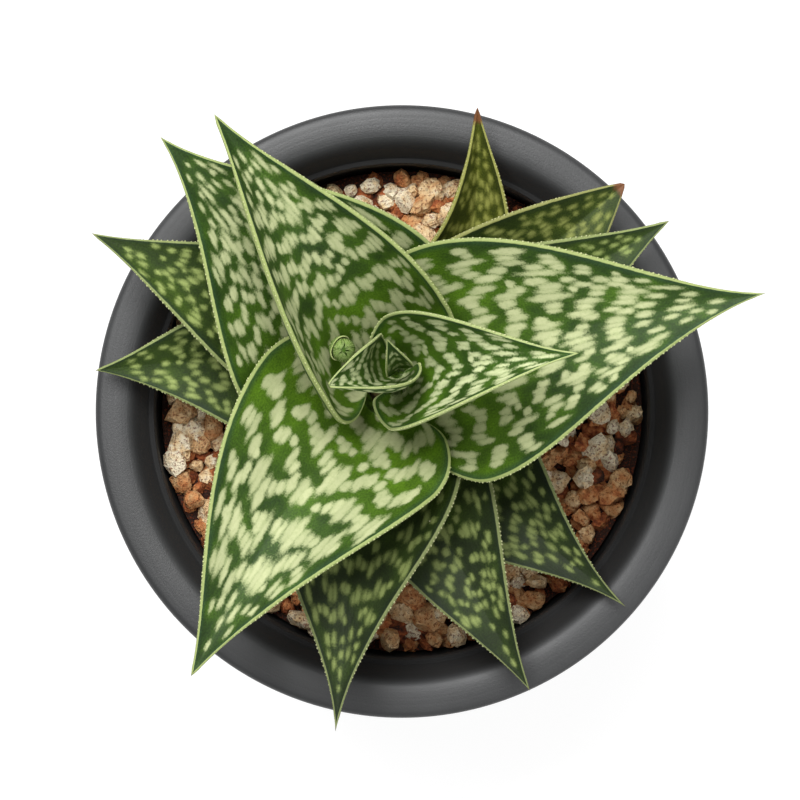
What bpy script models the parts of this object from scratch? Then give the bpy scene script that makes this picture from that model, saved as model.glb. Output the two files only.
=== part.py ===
"""Tiger aloe in a round plastic pot, with soil, a layer of gravel, a short stem and fifteen leaves.

The origin is the middle of the pot's underside, +Z is up, and the pot stands on the plane z = 0.
Sizes are in millimetres and become metres where a mesh is made.
The leaves stand in three ranks round the stem. leaf_01 is the oldest and lowest, leaf_15 the
youngest, in the heart of the rosette.
"""

import math
import random
from typing import NamedTuple

import bmesh
import bpy
import numpy as np
from mathutils import Euler, Matrix, Vector

MM = 0.001
PART_NAME = "potted_tiger_aloe"

# Pot: a tapered body under a wide rolled rim
RIM_RADIUS = 60.0
RIM_TOP = 100.0
RIM_SKIRT_DEPTH = 12.0
POT_FOOT_RADIUS = 40.0
POT_WALL = 1.4
POT_FLOOR = 3.0
SHOULDER_RADIUS = 50.2
SHOULDER_HEIGHT = 85.0
POT_STEPS = 40
DRAIN_HOLES = 6
DRAIN_RADIUS = 2.4
DRAIN_RING_RADIUS = 22.0

# Filling: everything in the pot keeps this play to its neighbour
PLAY = 0.3
SOIL_TOP = 80.0
GRAVEL_BED_TOP = 85.4
GRAVEL_RADIUS = 48.2
GRAVEL_FOOT_RADIUS = 47.9
GRAVEL_CEILING = 95.0
GRAIN_SPACING = 7.8
GRAIN_SHAKE = 0.94
GRAIN_RADIUS = 3.7
GRAIN_SIDES = 6
GRAIN_SINK = 1.1
GRAIN_LIFT = 0.4
GRAVEL_SEED = 11

# Stem: its axis stands a little off the pot's axis
STEM_X = -3.4
STEM_Y = 5.0
STEM_RADIUS = 4.4
STEM_BOTTOM = 70.0
STEM_TOP = 120.5
STEM_NECK = 119.0
STEM_STEPS = 14

# Leaves: points round one section, and stations along the leaf
HALF_RING = 6
STATIONS = 18
LAST_STATION = 0.965
FOOT_ZONE = 0.22
FOOT_HANDLE = 0.35
TIP_HANDLE = 0.4
KEEL_GROWN = 0.3
KEEL_FADE = 0.75
EDGE_FADE = 0.2
THINNEST_EDGE = 0.7

# Teeth: one a step between two stations, at shares of that step
TOOTH_HEIGHT = 0.5
TOOTH_FROM = 0.12
TOOTH_PEAK = 0.35
TOOTH_END = 0.64

# Flower bud, on a stalk that rises between two leaves
BUD_HEADING = 139.0
BUD_RADIUS = 2.4
STALK_RADIUS = 1.0


class Leaf(NamedTuple):
    """One leaf: angles in degrees, lengths in millimetres, shares of the leaf's length or width.

    The shift is how far the leaf's own axis stands from the stem's axis, because the plant's growing
    point is a little off that axis.
    """

    name: str
    heading: float
    reach: float
    tip_height: float
    foot_height: float
    foot_radius: float
    foot_rise: float
    tip_rise: float
    half_width: float
    foot_share: float
    shoulder: float
    taper: float
    foot_fold: float
    fold: float
    tip_fold: float
    crease: float
    thickness: float
    bow: float = 0.0
    tilt: float = 8.0
    twist: float = 0.0
    shift_x: float = 0.0
    shift_y: float = 0.0
    foot_thickness: float = 1.2
    edge_thickness: float = 0.9


# name, heading, reach, tip height, foot height, foot radius, foot rise, tip rise,
# half width, foot share, shoulder, taper, foot fold, fold, tip fold, crease, thickness
LEAVES = (
    Leaf("leaf_01", 71.5, 56.5, 109, 90.0, 5.6, 13, 25, 12.5, 0.35, 0.74, 1.15, 50, 55, 50, 30, 2.2,
         bow=-6.6, tilt=0, twist=15),
    Leaf("leaf_02", -42.5, 63.5, 104, 91.5, 5.6, 22, 0, 16.0, 0.35, 0.74, 1.50, 50, 25, 25, 8, 2.2,
         bow=-1.5, tilt=5),
    Leaf("leaf_03", 177.0, 56.0, 106, 93.5, 5.2, 28, 5, 16.0, 0.35, 0.74, 1.20, 50, 25, 25, 8, 2.2,
         bow=-3.3, twist=-28),
    Leaf("leaf_04", 40.0, 60.0, 114, 95.5, 5.3, 33, 8, 17.0, 0.35, 0.74, 0.90, 50, 30, 35, 15, 2.2),
    Leaf("leaf_05", -64.5, 65.0, 110, 97.5, 5.2, 32, 0, 14.0, 0.35, 0.74, 1.25, 50, 25, 25, 8, 2.4,
         bow=-1.8),
    Leaf("leaf_06", 152.5, 62.5, 120, 99.5, 5.1, 38, 10, 15.0, 0.35, 0.74, 1.20, 50, 25, 25, 8, 2.4,
         bow=-1.0),
    Leaf("leaf_07", 30.0, 62.5, 119, 101.0, 5.0, 40, 5, 16.5, 0.35, 0.74, 1.20, 55, 30, 35, 10, 2.4),
    Leaf("leaf_08", -98.0, 66.0, 122, 103.3, 5.0, 40, 5, 19.5, 0.35, 0.74, 1.50, 60, 33, 35, 10, 2.6,
         bow=-1.5, tilt=5),
    Leaf("leaf_09", 132.0, 62.0, 134, 105.5, 5.0, 50, 10, 25.5, 0.30, 0.74, 1.35, 60, 40, 30, 8, 3.0,
         bow=-1.4, tilt=2),
    Leaf("leaf_10", 13.5, 72.5, 138, 108.0, 5.0, 55, 5, 24.5, 0.40, 0.74, 1.40, 70, 35, 30, 5, 3.0,
         bow=2.0, tilt=3),
    Leaf("leaf_11", -123.5, 64.5, 137, 111.0, 5.4, 55, 5, 22.5, 0.65, 0.84, 1.20, 75, 35, 45, 8, 3.0,
         bow=-2.4, tilt=2),
    Leaf("leaf_12", 122.0, 58.0, 148, 114.0, 5.0, 52, 15, 21.5, 0.45, 0.84, 1.25, 95, 80, 50, 10, 3.0,
         bow=-0.5, tilt=15),
    Leaf("leaf_13", 7.3, 34.9, 150, 117.4, 4.4, 75, 0, 14.2, 0.75, 0.70, 1.40, 135, 68, 60, 12, 1.8,
         bow=0.4, tilt=-7, shift_x=0.8, shift_y=1.3),
    Leaf("leaf_14", 189.0, 13.6, 147, 121.0, 2.2, 70, 40, 9.4, 0.52, 0.60, 0.85, 120, 100, 70, 20, 1.4,
         bow=0.6, tilt=34, shift_x=3.4, shift_y=2.0, foot_thickness=0.9),
    Leaf("leaf_15", 113.0, 6.5, 146, 128.5, 1.0, 75, 60, 2.9, 0.45, 0.85, 1.00, 60, 45, 40, 20, 1.0,
         tilt=0, shift_x=3.2, shift_y=2.2, foot_thickness=0.7, edge_thickness=0.7),
)


def make_material(name: str, colour: tuple, roughness: float) -> bpy.types.Material:
    """A plain Principled material."""
    material = bpy.data.materials.new(name)
    material.use_nodes = True
    shader = material.node_tree.nodes["Principled BSDF"]
    shader.inputs["Base Color"].default_value = (*colour, 1.0)
    shader.inputs["Roughness"].default_value = roughness
    shader.inputs["Metallic"].default_value = 0.0
    return material


def make_collection(name: str) -> bpy.types.Collection:
    """A new collection under the scene."""
    collection = bpy.data.collections.new(name)
    bpy.context.scene.collection.children.link(collection)
    return collection


def add_object(name: str, mesh: bpy.types.Mesh, collection, material=None) -> bpy.types.Object:
    """An object for a mesh, shaded smooth with sharp edges kept."""
    obj = bpy.data.objects.new(name, mesh)
    collection.objects.link(obj)
    if material:
        mesh.materials.append(material)
    mesh.shade_smooth()
    mesh.set_sharp_from_angle(angle=math.radians(40))
    return obj


def turned(name: str, profile: list, steps: int, collection, material=None) -> bpy.types.Object:
    """A profile of (radius, height) points turned about Z with a Screw modifier."""
    mesh = bpy.data.meshes.new(name)
    points = [(radius * MM, 0.0, height * MM) for radius, height in profile]
    edges = [(i, i + 1) for i in range(len(points) - 1)]
    mesh.from_pydata(points, edges, [])
    obj = add_object(name, mesh, collection, material)
    screw = obj.modifiers.new("turn", "SCREW")
    screw.steps = steps
    screw.render_steps = steps
    screw.use_merge_vertices = True
    screw.merge_threshold = 0.00001
    screw.use_smooth_shade = True
    return obj


def arc(centre: tuple, radius: float, start: float, end: float, steps: int) -> list:
    """Points of a circular arc in the (radius, height) plane, from start to end in degrees."""
    angles = [math.radians(start + (end - start) * i / steps) for i in range(steps + 1)]
    return [(centre[0] + radius * math.cos(a), centre[1] + radius * math.sin(a)) for a in angles]


def as_cutter(obj: bpy.types.Object) -> bpy.types.Object:
    """Mark an object as a cutter."""
    obj.hide_render = True
    obj.display_type = "WIRE"
    return obj


def cut(obj: bpy.types.Object, cutter: bpy.types.Object) -> None:
    """Take a cutter's shape out of an object."""
    modifier = obj.modifiers.new(f"cut_{cutter.name}", "BOOLEAN")
    modifier.operation = "DIFFERENCE"
    modifier.object = cutter


def cylinder(name: str, radius: float, bottom: float, top: float, place: tuple, collection):
    """An upright cylinder used as a cutter."""
    mesh = bpy.data.meshes.new(name)
    shape = bmesh.new()
    bmesh.ops.create_cone(
        shape, cap_ends=True, segments=16, radius1=radius * MM, radius2=radius * MM,
        depth=(top - bottom) * MM,
    )
    shape.to_mesh(mesh)
    shape.free()
    obj = bpy.data.objects.new(name, mesh)
    collection.objects.link(obj)
    obj.location = (place[0] * MM, place[1] * MM, (top + bottom) / 2 * MM)
    return as_cutter(obj)


def inner_wall_radius(height: float) -> float:
    """Inner radius of the pot's body at a height."""
    foot = POT_FOOT_RADIUS - POT_WALL
    shoulder = SHOULDER_RADIUS - POT_WALL
    return foot + (shoulder - foot) * height / SHOULDER_HEIGHT


def build_pot(collection, cutters) -> None:
    """The pot: floor, tapered wall, inner ledge, wide rolled rim with a skirt, and drain holes."""
    ledge_height = RIM_TOP - 5.8
    ledge_radius = SHOULDER_RADIUS - 0.4
    rim_roll = 1.8
    skirt_wall = 2.2
    skirt_bottom = RIM_TOP - RIM_SKIRT_DEPTH
    rim_underside = RIM_TOP - 3.6
    inside = [
        (0.0, POT_FLOOR),
        (inner_wall_radius(POT_FLOOR), POT_FLOOR),
        (inner_wall_radius(SHOULDER_HEIGHT), SHOULDER_HEIGHT),
        (ledge_radius - 1.0, ledge_height),
        (ledge_radius, ledge_height),
        (ledge_radius + 0.7, ledge_height + 1.6),
    ]
    rim = [
        (ledge_radius + 1.6, RIM_TOP - 2.2),
        (ledge_radius + 3.4, RIM_TOP - 0.7),
        (RIM_RADIUS - 4.8, RIM_TOP),
    ]
    rim += arc((RIM_RADIUS - rim_roll, RIM_TOP - rim_roll), rim_roll, 80, 0, 3)
    outside = [
        (RIM_RADIUS - 0.6, skirt_bottom),
        (RIM_RADIUS - 0.6 - skirt_wall, skirt_bottom),
        (RIM_RADIUS - skirt_wall, rim_underside),
        (SHOULDER_RADIUS + 2.6, rim_underside),
        (SHOULDER_RADIUS + 1.0, SHOULDER_HEIGHT + 4.0),
        (SHOULDER_RADIUS, SHOULDER_HEIGHT),
        (POT_FOOT_RADIUS + 0.2, 1.6),
        (POT_FOOT_RADIUS - 1.2, 0.0),
        (0.0, 0.0),
    ]
    plastic = make_material("pot_plastic", (0.048, 0.050, 0.055), 0.5)
    pot = turned("pot", inside + rim + outside, POT_STEPS, collection, plastic)
    for i in range(DRAIN_HOLES):
        angle = 2 * math.pi * i / DRAIN_HOLES
        place = (DRAIN_RING_RADIUS * math.cos(angle), DRAIN_RING_RADIUS * math.sin(angle))
        cut(pot, cylinder(f"drain_{i + 1}", DRAIN_RADIUS, -2.0, POT_FLOOR + 2.0, place, cutters))


def build_soil(collection, cutters) -> None:
    """The potting soil, with a plain hole that the stem's foot stands in."""
    floor = POT_FLOOR + PLAY
    profile = [
        (0.0, SOIL_TOP),
        (inner_wall_radius(SOIL_TOP) - PLAY, SOIL_TOP),
        (inner_wall_radius(floor) - PLAY, floor),
        (0.0, floor),
    ]
    soil = turned("soil", profile, POT_STEPS, collection, make_material("soil", (0.045, 0.028, 0.018), 0.95))
    place = (STEM_X, STEM_Y)
    hole = cylinder("stem_hole", STEM_RADIUS + 2 * PLAY, STEM_BOTTOM - PLAY, SOIL_TOP + 5.0, place, cutters)
    cut(soil, hole)


def grain_places() -> list:
    """Middles of the gravel's grains: a shaken triangular grid over the bed, clear of the stem."""
    draw = random.Random(GRAVEL_SEED)
    row_height = GRAIN_SPACING * math.sqrt(3) / 2
    rows = int(GRAVEL_RADIUS / row_height) + 1
    places = []
    for row in range(-rows, rows + 1):
        for column in range(-rows - 2, rows + 3):
            x = (column + 0.5 * (row % 2)) * GRAIN_SPACING + draw.uniform(-GRAIN_SHAKE, GRAIN_SHAKE)
            y = row * row_height + draw.uniform(-GRAIN_SHAKE, GRAIN_SHAKE)
            clear_of_stem = math.hypot(x - STEM_X, y - STEM_Y) > STEM_RADIUS + GRAIN_RADIUS
            if math.hypot(x, y) < GRAVEL_RADIUS - 1.0 and clear_of_stem:
                places.append((x, y))
    return places


def add_grain(name: str, place: tuple, draw: random.Random, collection) -> bpy.types.Object:
    """One angular grain: a small polyhedron, flattened, stretched and turned at random."""
    mesh = bpy.data.meshes.new(name)
    shape = bmesh.new()
    bmesh.ops.create_uvsphere(shape, u_segments=GRAIN_SIDES, v_segments=3, radius=GRAIN_RADIUS * MM)
    stretch = Matrix.Diagonal((draw.uniform(0.95, 1.2), draw.uniform(0.85, 1.1), draw.uniform(0.7, 0.85), 1))
    tilt = Euler((draw.uniform(-0.5, 0.5), draw.uniform(-0.5, 0.5), draw.uniform(0, math.tau))).to_matrix()
    shape.transform(tilt.to_4x4() @ stretch)
    shape.to_mesh(mesh)
    shape.free()
    obj = bpy.data.objects.new(name, mesh)
    collection.objects.link(obj)
    height = GRAVEL_BED_TOP - GRAIN_SINK + draw.uniform(-GRAIN_LIFT, GRAIN_LIFT)
    obj.location = (place[0] * MM, place[1] * MM, height * MM)
    return obj


def apply_modifiers(obj: bpy.types.Object) -> None:
    """Replace an object's mesh with its evaluated one and drop its modifiers."""
    graph = bpy.context.evaluated_depsgraph_get()
    mesh = bpy.data.meshes.new_from_object(obj.evaluated_get(graph))
    obj.modifiers.clear()
    obj.data = mesh


def build_gravel(collection, cutters) -> None:
    """The gravel: a flat bed and a layer of fused grains, trimmed to the pot, with the stem's hole."""
    stone = make_material("gravel", (0.42, 0.27, 0.16), 0.85)
    bed_bottom = SOIL_TOP + PLAY
    bed_profile = [
        (0.0, GRAVEL_BED_TOP),
        (GRAVEL_RADIUS, GRAVEL_BED_TOP),
        (GRAVEL_FOOT_RADIUS, bed_bottom),
        (0.0, bed_bottom),
    ]
    gravel = turned("gravel", bed_profile, POT_STEPS, collection, stone)
    draw = random.Random(GRAVEL_SEED)
    grains = make_collection("grains")
    for i, place in enumerate(grain_places()):
        add_grain(f"grain_{i}", place, draw, grains)
    join = gravel.modifiers.new("join_grains", "BOOLEAN")
    join.operation = "UNION"
    join.operand_type = "COLLECTION"
    join.collection = grains
    trimmer_bottom = bed_bottom - 0.01
    trimmer_profile = [
        (0.0, GRAVEL_CEILING),
        (GRAVEL_RADIUS, GRAVEL_CEILING),
        (GRAVEL_FOOT_RADIUS, trimmer_bottom),
        (0.0, trimmer_bottom),
    ]
    trim = gravel.modifiers.new("trim", "BOOLEAN")
    trim.operation = "INTERSECT"
    trim.object = as_cutter(turned("gravel_trimmer", trimmer_profile, POT_STEPS, cutters))
    hole_radius = STEM_RADIUS + 2 * PLAY
    place = (STEM_X, STEM_Y)
    cut(gravel, cylinder("gravel_hole", hole_radius, SOIL_TOP - 5.0, GRAVEL_CEILING, place, cutters))
    apply_modifiers(gravel)
    for grain in list(grains.objects):
        bpy.data.objects.remove(grain)
    bpy.data.collections.remove(grains)


def build_stem(collection) -> None:
    """The short woody stem, from its foot in the soil to its growing point."""
    profile = [
        (0.0, STEM_TOP),
        (0.9, STEM_TOP),
        (1.1, STEM_NECK),
        (1.6, STEM_NECK - 1.2),
        (2.8, STEM_NECK - 7.0),
        (3.5, STEM_NECK - 13.0),
        (STEM_RADIUS, STEM_NECK - 21.0),
        (STEM_RADIUS, STEM_BOTTOM + 4.0),
        (2.6, STEM_BOTTOM),
        (0.0, STEM_BOTTOM),
    ]
    stem = turned("stem", profile, STEM_STEPS, collection, make_material("stem", (0.16, 0.11, 0.06), 0.8))
    stem.location = (STEM_X * MM, STEM_Y * MM, 0.0)


def smooth_step(x: np.ndarray) -> np.ndarray:
    """Ease from 0 to 1 as x goes from 0 to 1, and hold outside."""
    x = np.clip(x, 0.0, 1.0)
    return x * x * (3.0 - 2.0 * x)


def midrib(leaf: Leaf, u: np.ndarray) -> tuple:
    """Points of the leaf's middle line and its frame: along, across and up.

    The line is a cubic Bezier curve in the upright plane of the leaf's heading, from the foot to the
    tip, which leaves the foot at foot_rise and reaches the tip at tip_rise. The bow moves it
    sideways by a half wave. The frame is then rolled about the line by the tilt and the twist.
    """
    foot = np.array([leaf.foot_radius, leaf.foot_height])
    tip = np.array([leaf.reach, leaf.tip_height])
    chord = np.linalg.norm(tip - foot)
    foot_rise = math.radians(leaf.foot_rise)
    tip_rise = math.radians(leaf.tip_rise)
    handle_1 = foot + FOOT_HANDLE * chord * np.array([math.cos(foot_rise), math.sin(foot_rise)])
    handle_2 = tip - TIP_HANDLE * chord * np.array([math.cos(tip_rise), math.sin(tip_rise)])
    t = u[:, None]
    line = (1 - t) ** 3 * foot + 3 * (1 - t) ** 2 * t * handle_1
    line += 3 * (1 - t) * t * t * handle_2 + t ** 3 * tip
    slope = 3 * (1 - t) ** 2 * (handle_1 - foot) + 6 * (1 - t) * t * (handle_2 - handle_1)
    slope += 3 * t * t * (tip - handle_2)
    side = leaf.bow * np.sin(np.pi * u)
    side_slope = leaf.bow * np.pi * np.cos(np.pi * u)
    middle = np.stack([line[:, 0], side, line[:, 1]], axis=1)
    along = np.stack([slope[:, 0], side_slope, slope[:, 1]], axis=1)
    along /= np.linalg.norm(along, axis=1)[:, None]
    across = np.cross(np.array([0.0, 0.0, 1.0]), along)
    across /= np.linalg.norm(across, axis=1)[:, None]
    up = np.cross(along, across)
    roll = np.radians(leaf.tilt + leaf.twist * u)[:, None]
    return middle, along, across * np.cos(roll) + up * np.sin(roll), up * np.cos(roll) - across * np.sin(roll)


def half_widths(leaf: Leaf, u: np.ndarray) -> np.ndarray:
    """Half width of the blade at each station, measured along its curved face.

    From the tip it grows as a sine of the distance raised to the taper, up to the shoulder. From
    there to the foot it shrinks again, as a square, to the foot's share.
    """
    from_tip = 1.0 - u
    grown = np.sin(np.pi / 2 * np.clip(from_tip / leaf.shoulder, 0.0, 1.0) ** leaf.taper)
    past = np.clip((from_tip - leaf.shoulder) / (1.0 - leaf.shoulder), 0.0, 1.0)
    shrunk = 1.0 - (1.0 - leaf.foot_share) * past ** 2
    return leaf.half_width * np.where(from_tip < leaf.shoulder, grown, shrunk)


def section(leaf: Leaf, u: np.ndarray, v: np.ndarray) -> tuple:
    """Upper face of the blade across each station: sideways and upward offsets, and the slope.

    Each half leaves the midrib at the crease angle and curls up evenly to the fold angle at the
    margin. The fold goes from foot_fold to fold within the foot's zone, and on to tip_fold.
    """
    width = half_widths(leaf, u)[:, None]
    in_foot = smooth_step(u / FOOT_ZONE)
    beyond = np.clip((u - FOOT_ZONE) / (1.0 - FOOT_ZONE), 0.0, 1.0)
    fold = leaf.foot_fold + (leaf.fold - leaf.foot_fold) * in_foot + (leaf.tip_fold - leaf.fold) * beyond
    fold = np.radians(fold)[:, None]
    crease = np.radians(leaf.crease * in_foot)[:, None]
    curl = np.maximum(fold - crease, 0.001)
    slope = crease + curl * np.abs(v)
    sideways = width * (np.sin(slope) - np.sin(crease)) / curl * np.sign(v)
    upward = width * (np.cos(crease) - np.cos(slope)) / curl
    return sideways, upward, slope * np.sign(v)


def thicknesses(leaf: Leaf, u: np.ndarray, v: np.ndarray) -> np.ndarray:
    """Thickness of the blade: fullest along the keel, thin at the margins and towards the tip."""
    grown = np.sin(np.pi / 2 * np.clip(u / KEEL_GROWN, 0.0, 1.0))
    keel = leaf.foot_thickness + (leaf.thickness - leaf.foot_thickness) * grown
    keel = (keel * np.clip((1.0 - u) / KEEL_FADE, 0.0, 1.0) ** 0.7)[:, None]
    edge = (leaf.edge_thickness * np.clip((1.0 - u) / EDGE_FADE, THINNEST_EDGE, 1.0))[:, None]
    return edge + np.maximum(keel - edge, 0.0) * (1.0 - np.abs(v) ** 1.7)


def blade_rings(leaf: Leaf) -> tuple:
    """Closed rings of points round the blade, one a station, with the end points, in the leaf's frame.

    A ring starts at the left margin, crosses the upper face to the right margin and comes back
    along the lower face. Both faces have their points at the same places across.
    """
    u = np.linspace(0.0, LAST_STATION, STATIONS)
    upper = np.linspace(1.0, -1.0, HALF_RING + 1)
    v = np.concatenate([upper, -upper[1:-1]])[None, :]
    depth = np.concatenate([[0.5], np.zeros(HALF_RING - 1), [0.5], np.ones(HALF_RING - 1)])[None, :]
    sideways, upward, slope = section(leaf, u, v)
    drop = thicknesses(leaf, u, v) * depth
    sideways = sideways + np.sin(slope) * drop
    upward = upward - np.cos(slope) * drop
    middle, _, across, up = midrib(leaf, u)
    rings = middle[:, None] + sideways[..., None] * across[:, None] + upward[..., None] * up[:, None]
    tip = midrib(leaf, np.array([1.0]))[0][0]
    return rings, rings[0].mean(axis=0), tip


def ring_faces(stations: int, ring: int) -> list:
    """Faces of a closed skin over the rings, with a fan at the foot and one at the tip."""
    foot = stations * ring
    tip = foot + 1
    faces = []
    for j in range(ring):
        k = (j + 1) % ring
        faces.append((foot, k, j))
        for start in range(0, (stations - 1) * ring, ring):
            faces.append((start + j, start + k, start + ring + k, start + ring + j))
        faces.append(((stations - 1) * ring + j, (stations - 1) * ring + k, tip))
    return faces


def add_teeth(shape: bmesh.types.BMesh, rings: np.ndarray) -> None:
    """Split each margin between two stations and draw one point of it out into a tooth."""
    ring = rings.shape[1]
    first = int(TOOTH_FROM * STATIONS)
    shape.verts.ensure_lookup_table()
    for margin, inner, under in ((0, 1, ring - 1), (HALF_RING, HALF_RING - 1, HALF_RING + 1)):
        outward = rings[:, margin] - (rings[:, inner] + rings[:, under]) / 2
        outward /= np.linalg.norm(outward, axis=1)[:, None]
        for station in range(first, STATIONS - 1):
            near = shape.verts[station * ring + margin]
            far = shape.verts[(station + 1) * ring + margin]
            edge = shape.edges.get((near, far))
            rest, tooth = bmesh.utils.edge_split(edge, near, TOOTH_PEAK)
            rest = rest if far in rest.verts else edge
            bmesh.utils.edge_split(rest, tooth, (TOOTH_END - TOOTH_PEAK) / (1.0 - TOOTH_PEAK))
            tooth.co += Vector(outward[station]) * TOOTH_HEIGHT
            shape.verts.ensure_lookup_table()


def build_leaf(leaf: Leaf, collection, material) -> None:
    """One leaf: a thick folded blade with a keel and small teeth along both margins."""
    rings, foot, tip = blade_rings(leaf)
    stations, ring, _ = rings.shape
    mesh = bpy.data.meshes.new(leaf.name)
    points = np.vstack([rings.reshape(-1, 3), foot, tip])
    mesh.from_pydata(points.tolist(), [], ring_faces(stations, ring))
    shape = bmesh.new()
    shape.from_mesh(mesh)
    add_teeth(shape, rings)
    shape.transform(Matrix.Scale(MM, 4))
    shape.to_mesh(mesh)
    shape.free()
    obj = add_object(leaf.name, mesh, collection, material)
    obj.location = ((STEM_X + leaf.shift_x) * MM, (STEM_Y + leaf.shift_y) * MM, 0.0)
    obj.rotation_euler = (0.0, 0.0, math.radians(leaf.heading))


def build_flower_bud(collection) -> None:
    """A round young flower bud on a short stalk, as one tapering curve made into a mesh."""
    path = [
        (5.4, 117.6, 0.7 * STALK_RADIUS),
        (6.8, 121.0, 0.8 * STALK_RADIUS),
        (8.6, 125.0, STALK_RADIUS),
        (9.6, 127.4, 0.8 * BUD_RADIUS),
        (10.2, 129.6, BUD_RADIUS),
        (10.6, 131.6, 0.8 * BUD_RADIUS),
        (10.9, 133.0, 0.3 * BUD_RADIUS),
    ]
    curve = bpy.data.curves.new("flower_bud_path", "CURVE")
    curve.dimensions = "3D"
    curve.bevel_depth = MM
    curve.bevel_resolution = 2
    curve.use_fill_caps = True
    spline = curve.splines.new("POLY")
    spline.points.add(len(path) - 1)
    for point, (radius, height, girth) in zip(spline.points, path):
        point.co = (radius * MM, 0.0, height * MM, 1.0)
        point.radius = girth
    guide = bpy.data.objects.new("flower_bud_guide", curve)
    collection.objects.link(guide)
    guide.location = (STEM_X * MM, STEM_Y * MM, 0.0)
    guide.rotation_euler = (0.0, 0.0, math.radians(BUD_HEADING))
    bpy.context.view_layer.update()
    graph = bpy.context.evaluated_depsgraph_get()
    mesh = bpy.data.meshes.new_from_object(guide.evaluated_get(graph))
    mesh.name = "flower_bud"
    shape = bmesh.new()
    shape.from_mesh(mesh)
    bmesh.ops.remove_doubles(shape, verts=shape.verts, dist=0.00001)
    shape.to_mesh(mesh)
    shape.free()
    bud = add_object("flower_bud", mesh, collection, make_material("flower_bud", (0.24, 0.36, 0.13), 0.5))
    bud.matrix_world = guide.matrix_world
    bpy.data.objects.remove(guide)


def main() -> None:
    """Build the whole plant in its pot."""
    for obj in list(bpy.data.objects):
        bpy.data.objects.remove(obj)
    part = make_collection(PART_NAME)
    cutters = make_collection("cutters")
    build_pot(part, cutters)
    build_soil(part, cutters)
    build_gravel(part, cutters)
    build_stem(part)
    leaf_skin = make_material("leaf", (0.075, 0.16, 0.05), 0.45)
    for leaf in LEAVES:
        build_leaf(leaf, part, leaf_skin)
    build_flower_bud(part)


main()
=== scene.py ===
"""Dressing of a potted tiger aloe: fine leaves with their pale dashes, gravel, stem, bud and pot.

Sizes are in millimetres and become metres where a mesh is made. The origin is the middle of the
pot's underside, +Z is up, and the camera looks straight down with +Y towards the picture's top.
"""

import logging
import math
from dataclasses import dataclass, field
from enum import Enum
from typing import Sequence

import bpy
import numpy as np
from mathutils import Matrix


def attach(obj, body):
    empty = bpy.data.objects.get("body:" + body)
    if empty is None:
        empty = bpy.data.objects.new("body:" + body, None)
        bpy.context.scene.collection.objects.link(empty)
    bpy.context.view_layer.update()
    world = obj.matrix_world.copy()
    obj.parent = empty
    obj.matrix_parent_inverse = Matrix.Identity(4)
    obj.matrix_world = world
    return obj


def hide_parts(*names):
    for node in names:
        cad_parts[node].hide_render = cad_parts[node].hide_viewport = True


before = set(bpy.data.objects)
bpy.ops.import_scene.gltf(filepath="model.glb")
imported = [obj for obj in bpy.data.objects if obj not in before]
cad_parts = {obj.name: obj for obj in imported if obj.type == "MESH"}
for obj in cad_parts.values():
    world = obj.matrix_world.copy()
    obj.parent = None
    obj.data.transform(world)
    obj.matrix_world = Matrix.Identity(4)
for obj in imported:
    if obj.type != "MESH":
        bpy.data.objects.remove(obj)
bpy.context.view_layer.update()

MM = 0.001
STEM_AXIS = np.array([-3.4, 5.0, 0.0])

log = logging.getLogger("aloe")

Colour = tuple[float, float, float, float]
Socket = bpy.types.NodeSocket
Sockets = bpy.types.bpy_prop_collection


class Slot(Enum):
    """Material slots of the record, one for each kind of piece."""

    POT = "pot_plastic"
    GRAVEL = "gravel"
    STEM = "stem"
    LEAF = "leaf"
    BUD = "flower_bud"


def shade(red: int, green: int, blue: int) -> Colour:
    """Turn a screen colour of 0 to 255 into the linear colour that shaders use.

    Args:
        red: Red part.
        green: Green part.
        blue: Blue part.

    Returns:
        Linear red, green and blue, and full alpha.
    """
    parts = [part / 255 for part in (red, green, blue)]
    linear = [((part + 0.055) / 1.055) ** 2.4 if part > 0.04045 else part / 12.92 for part in parts]
    return (linear[0], linear[1], linear[2], 1.0)


TOOTH_COLOUR = shade(214, 212, 166)
LEAF_DUST = shade(214, 206, 180)


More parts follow.
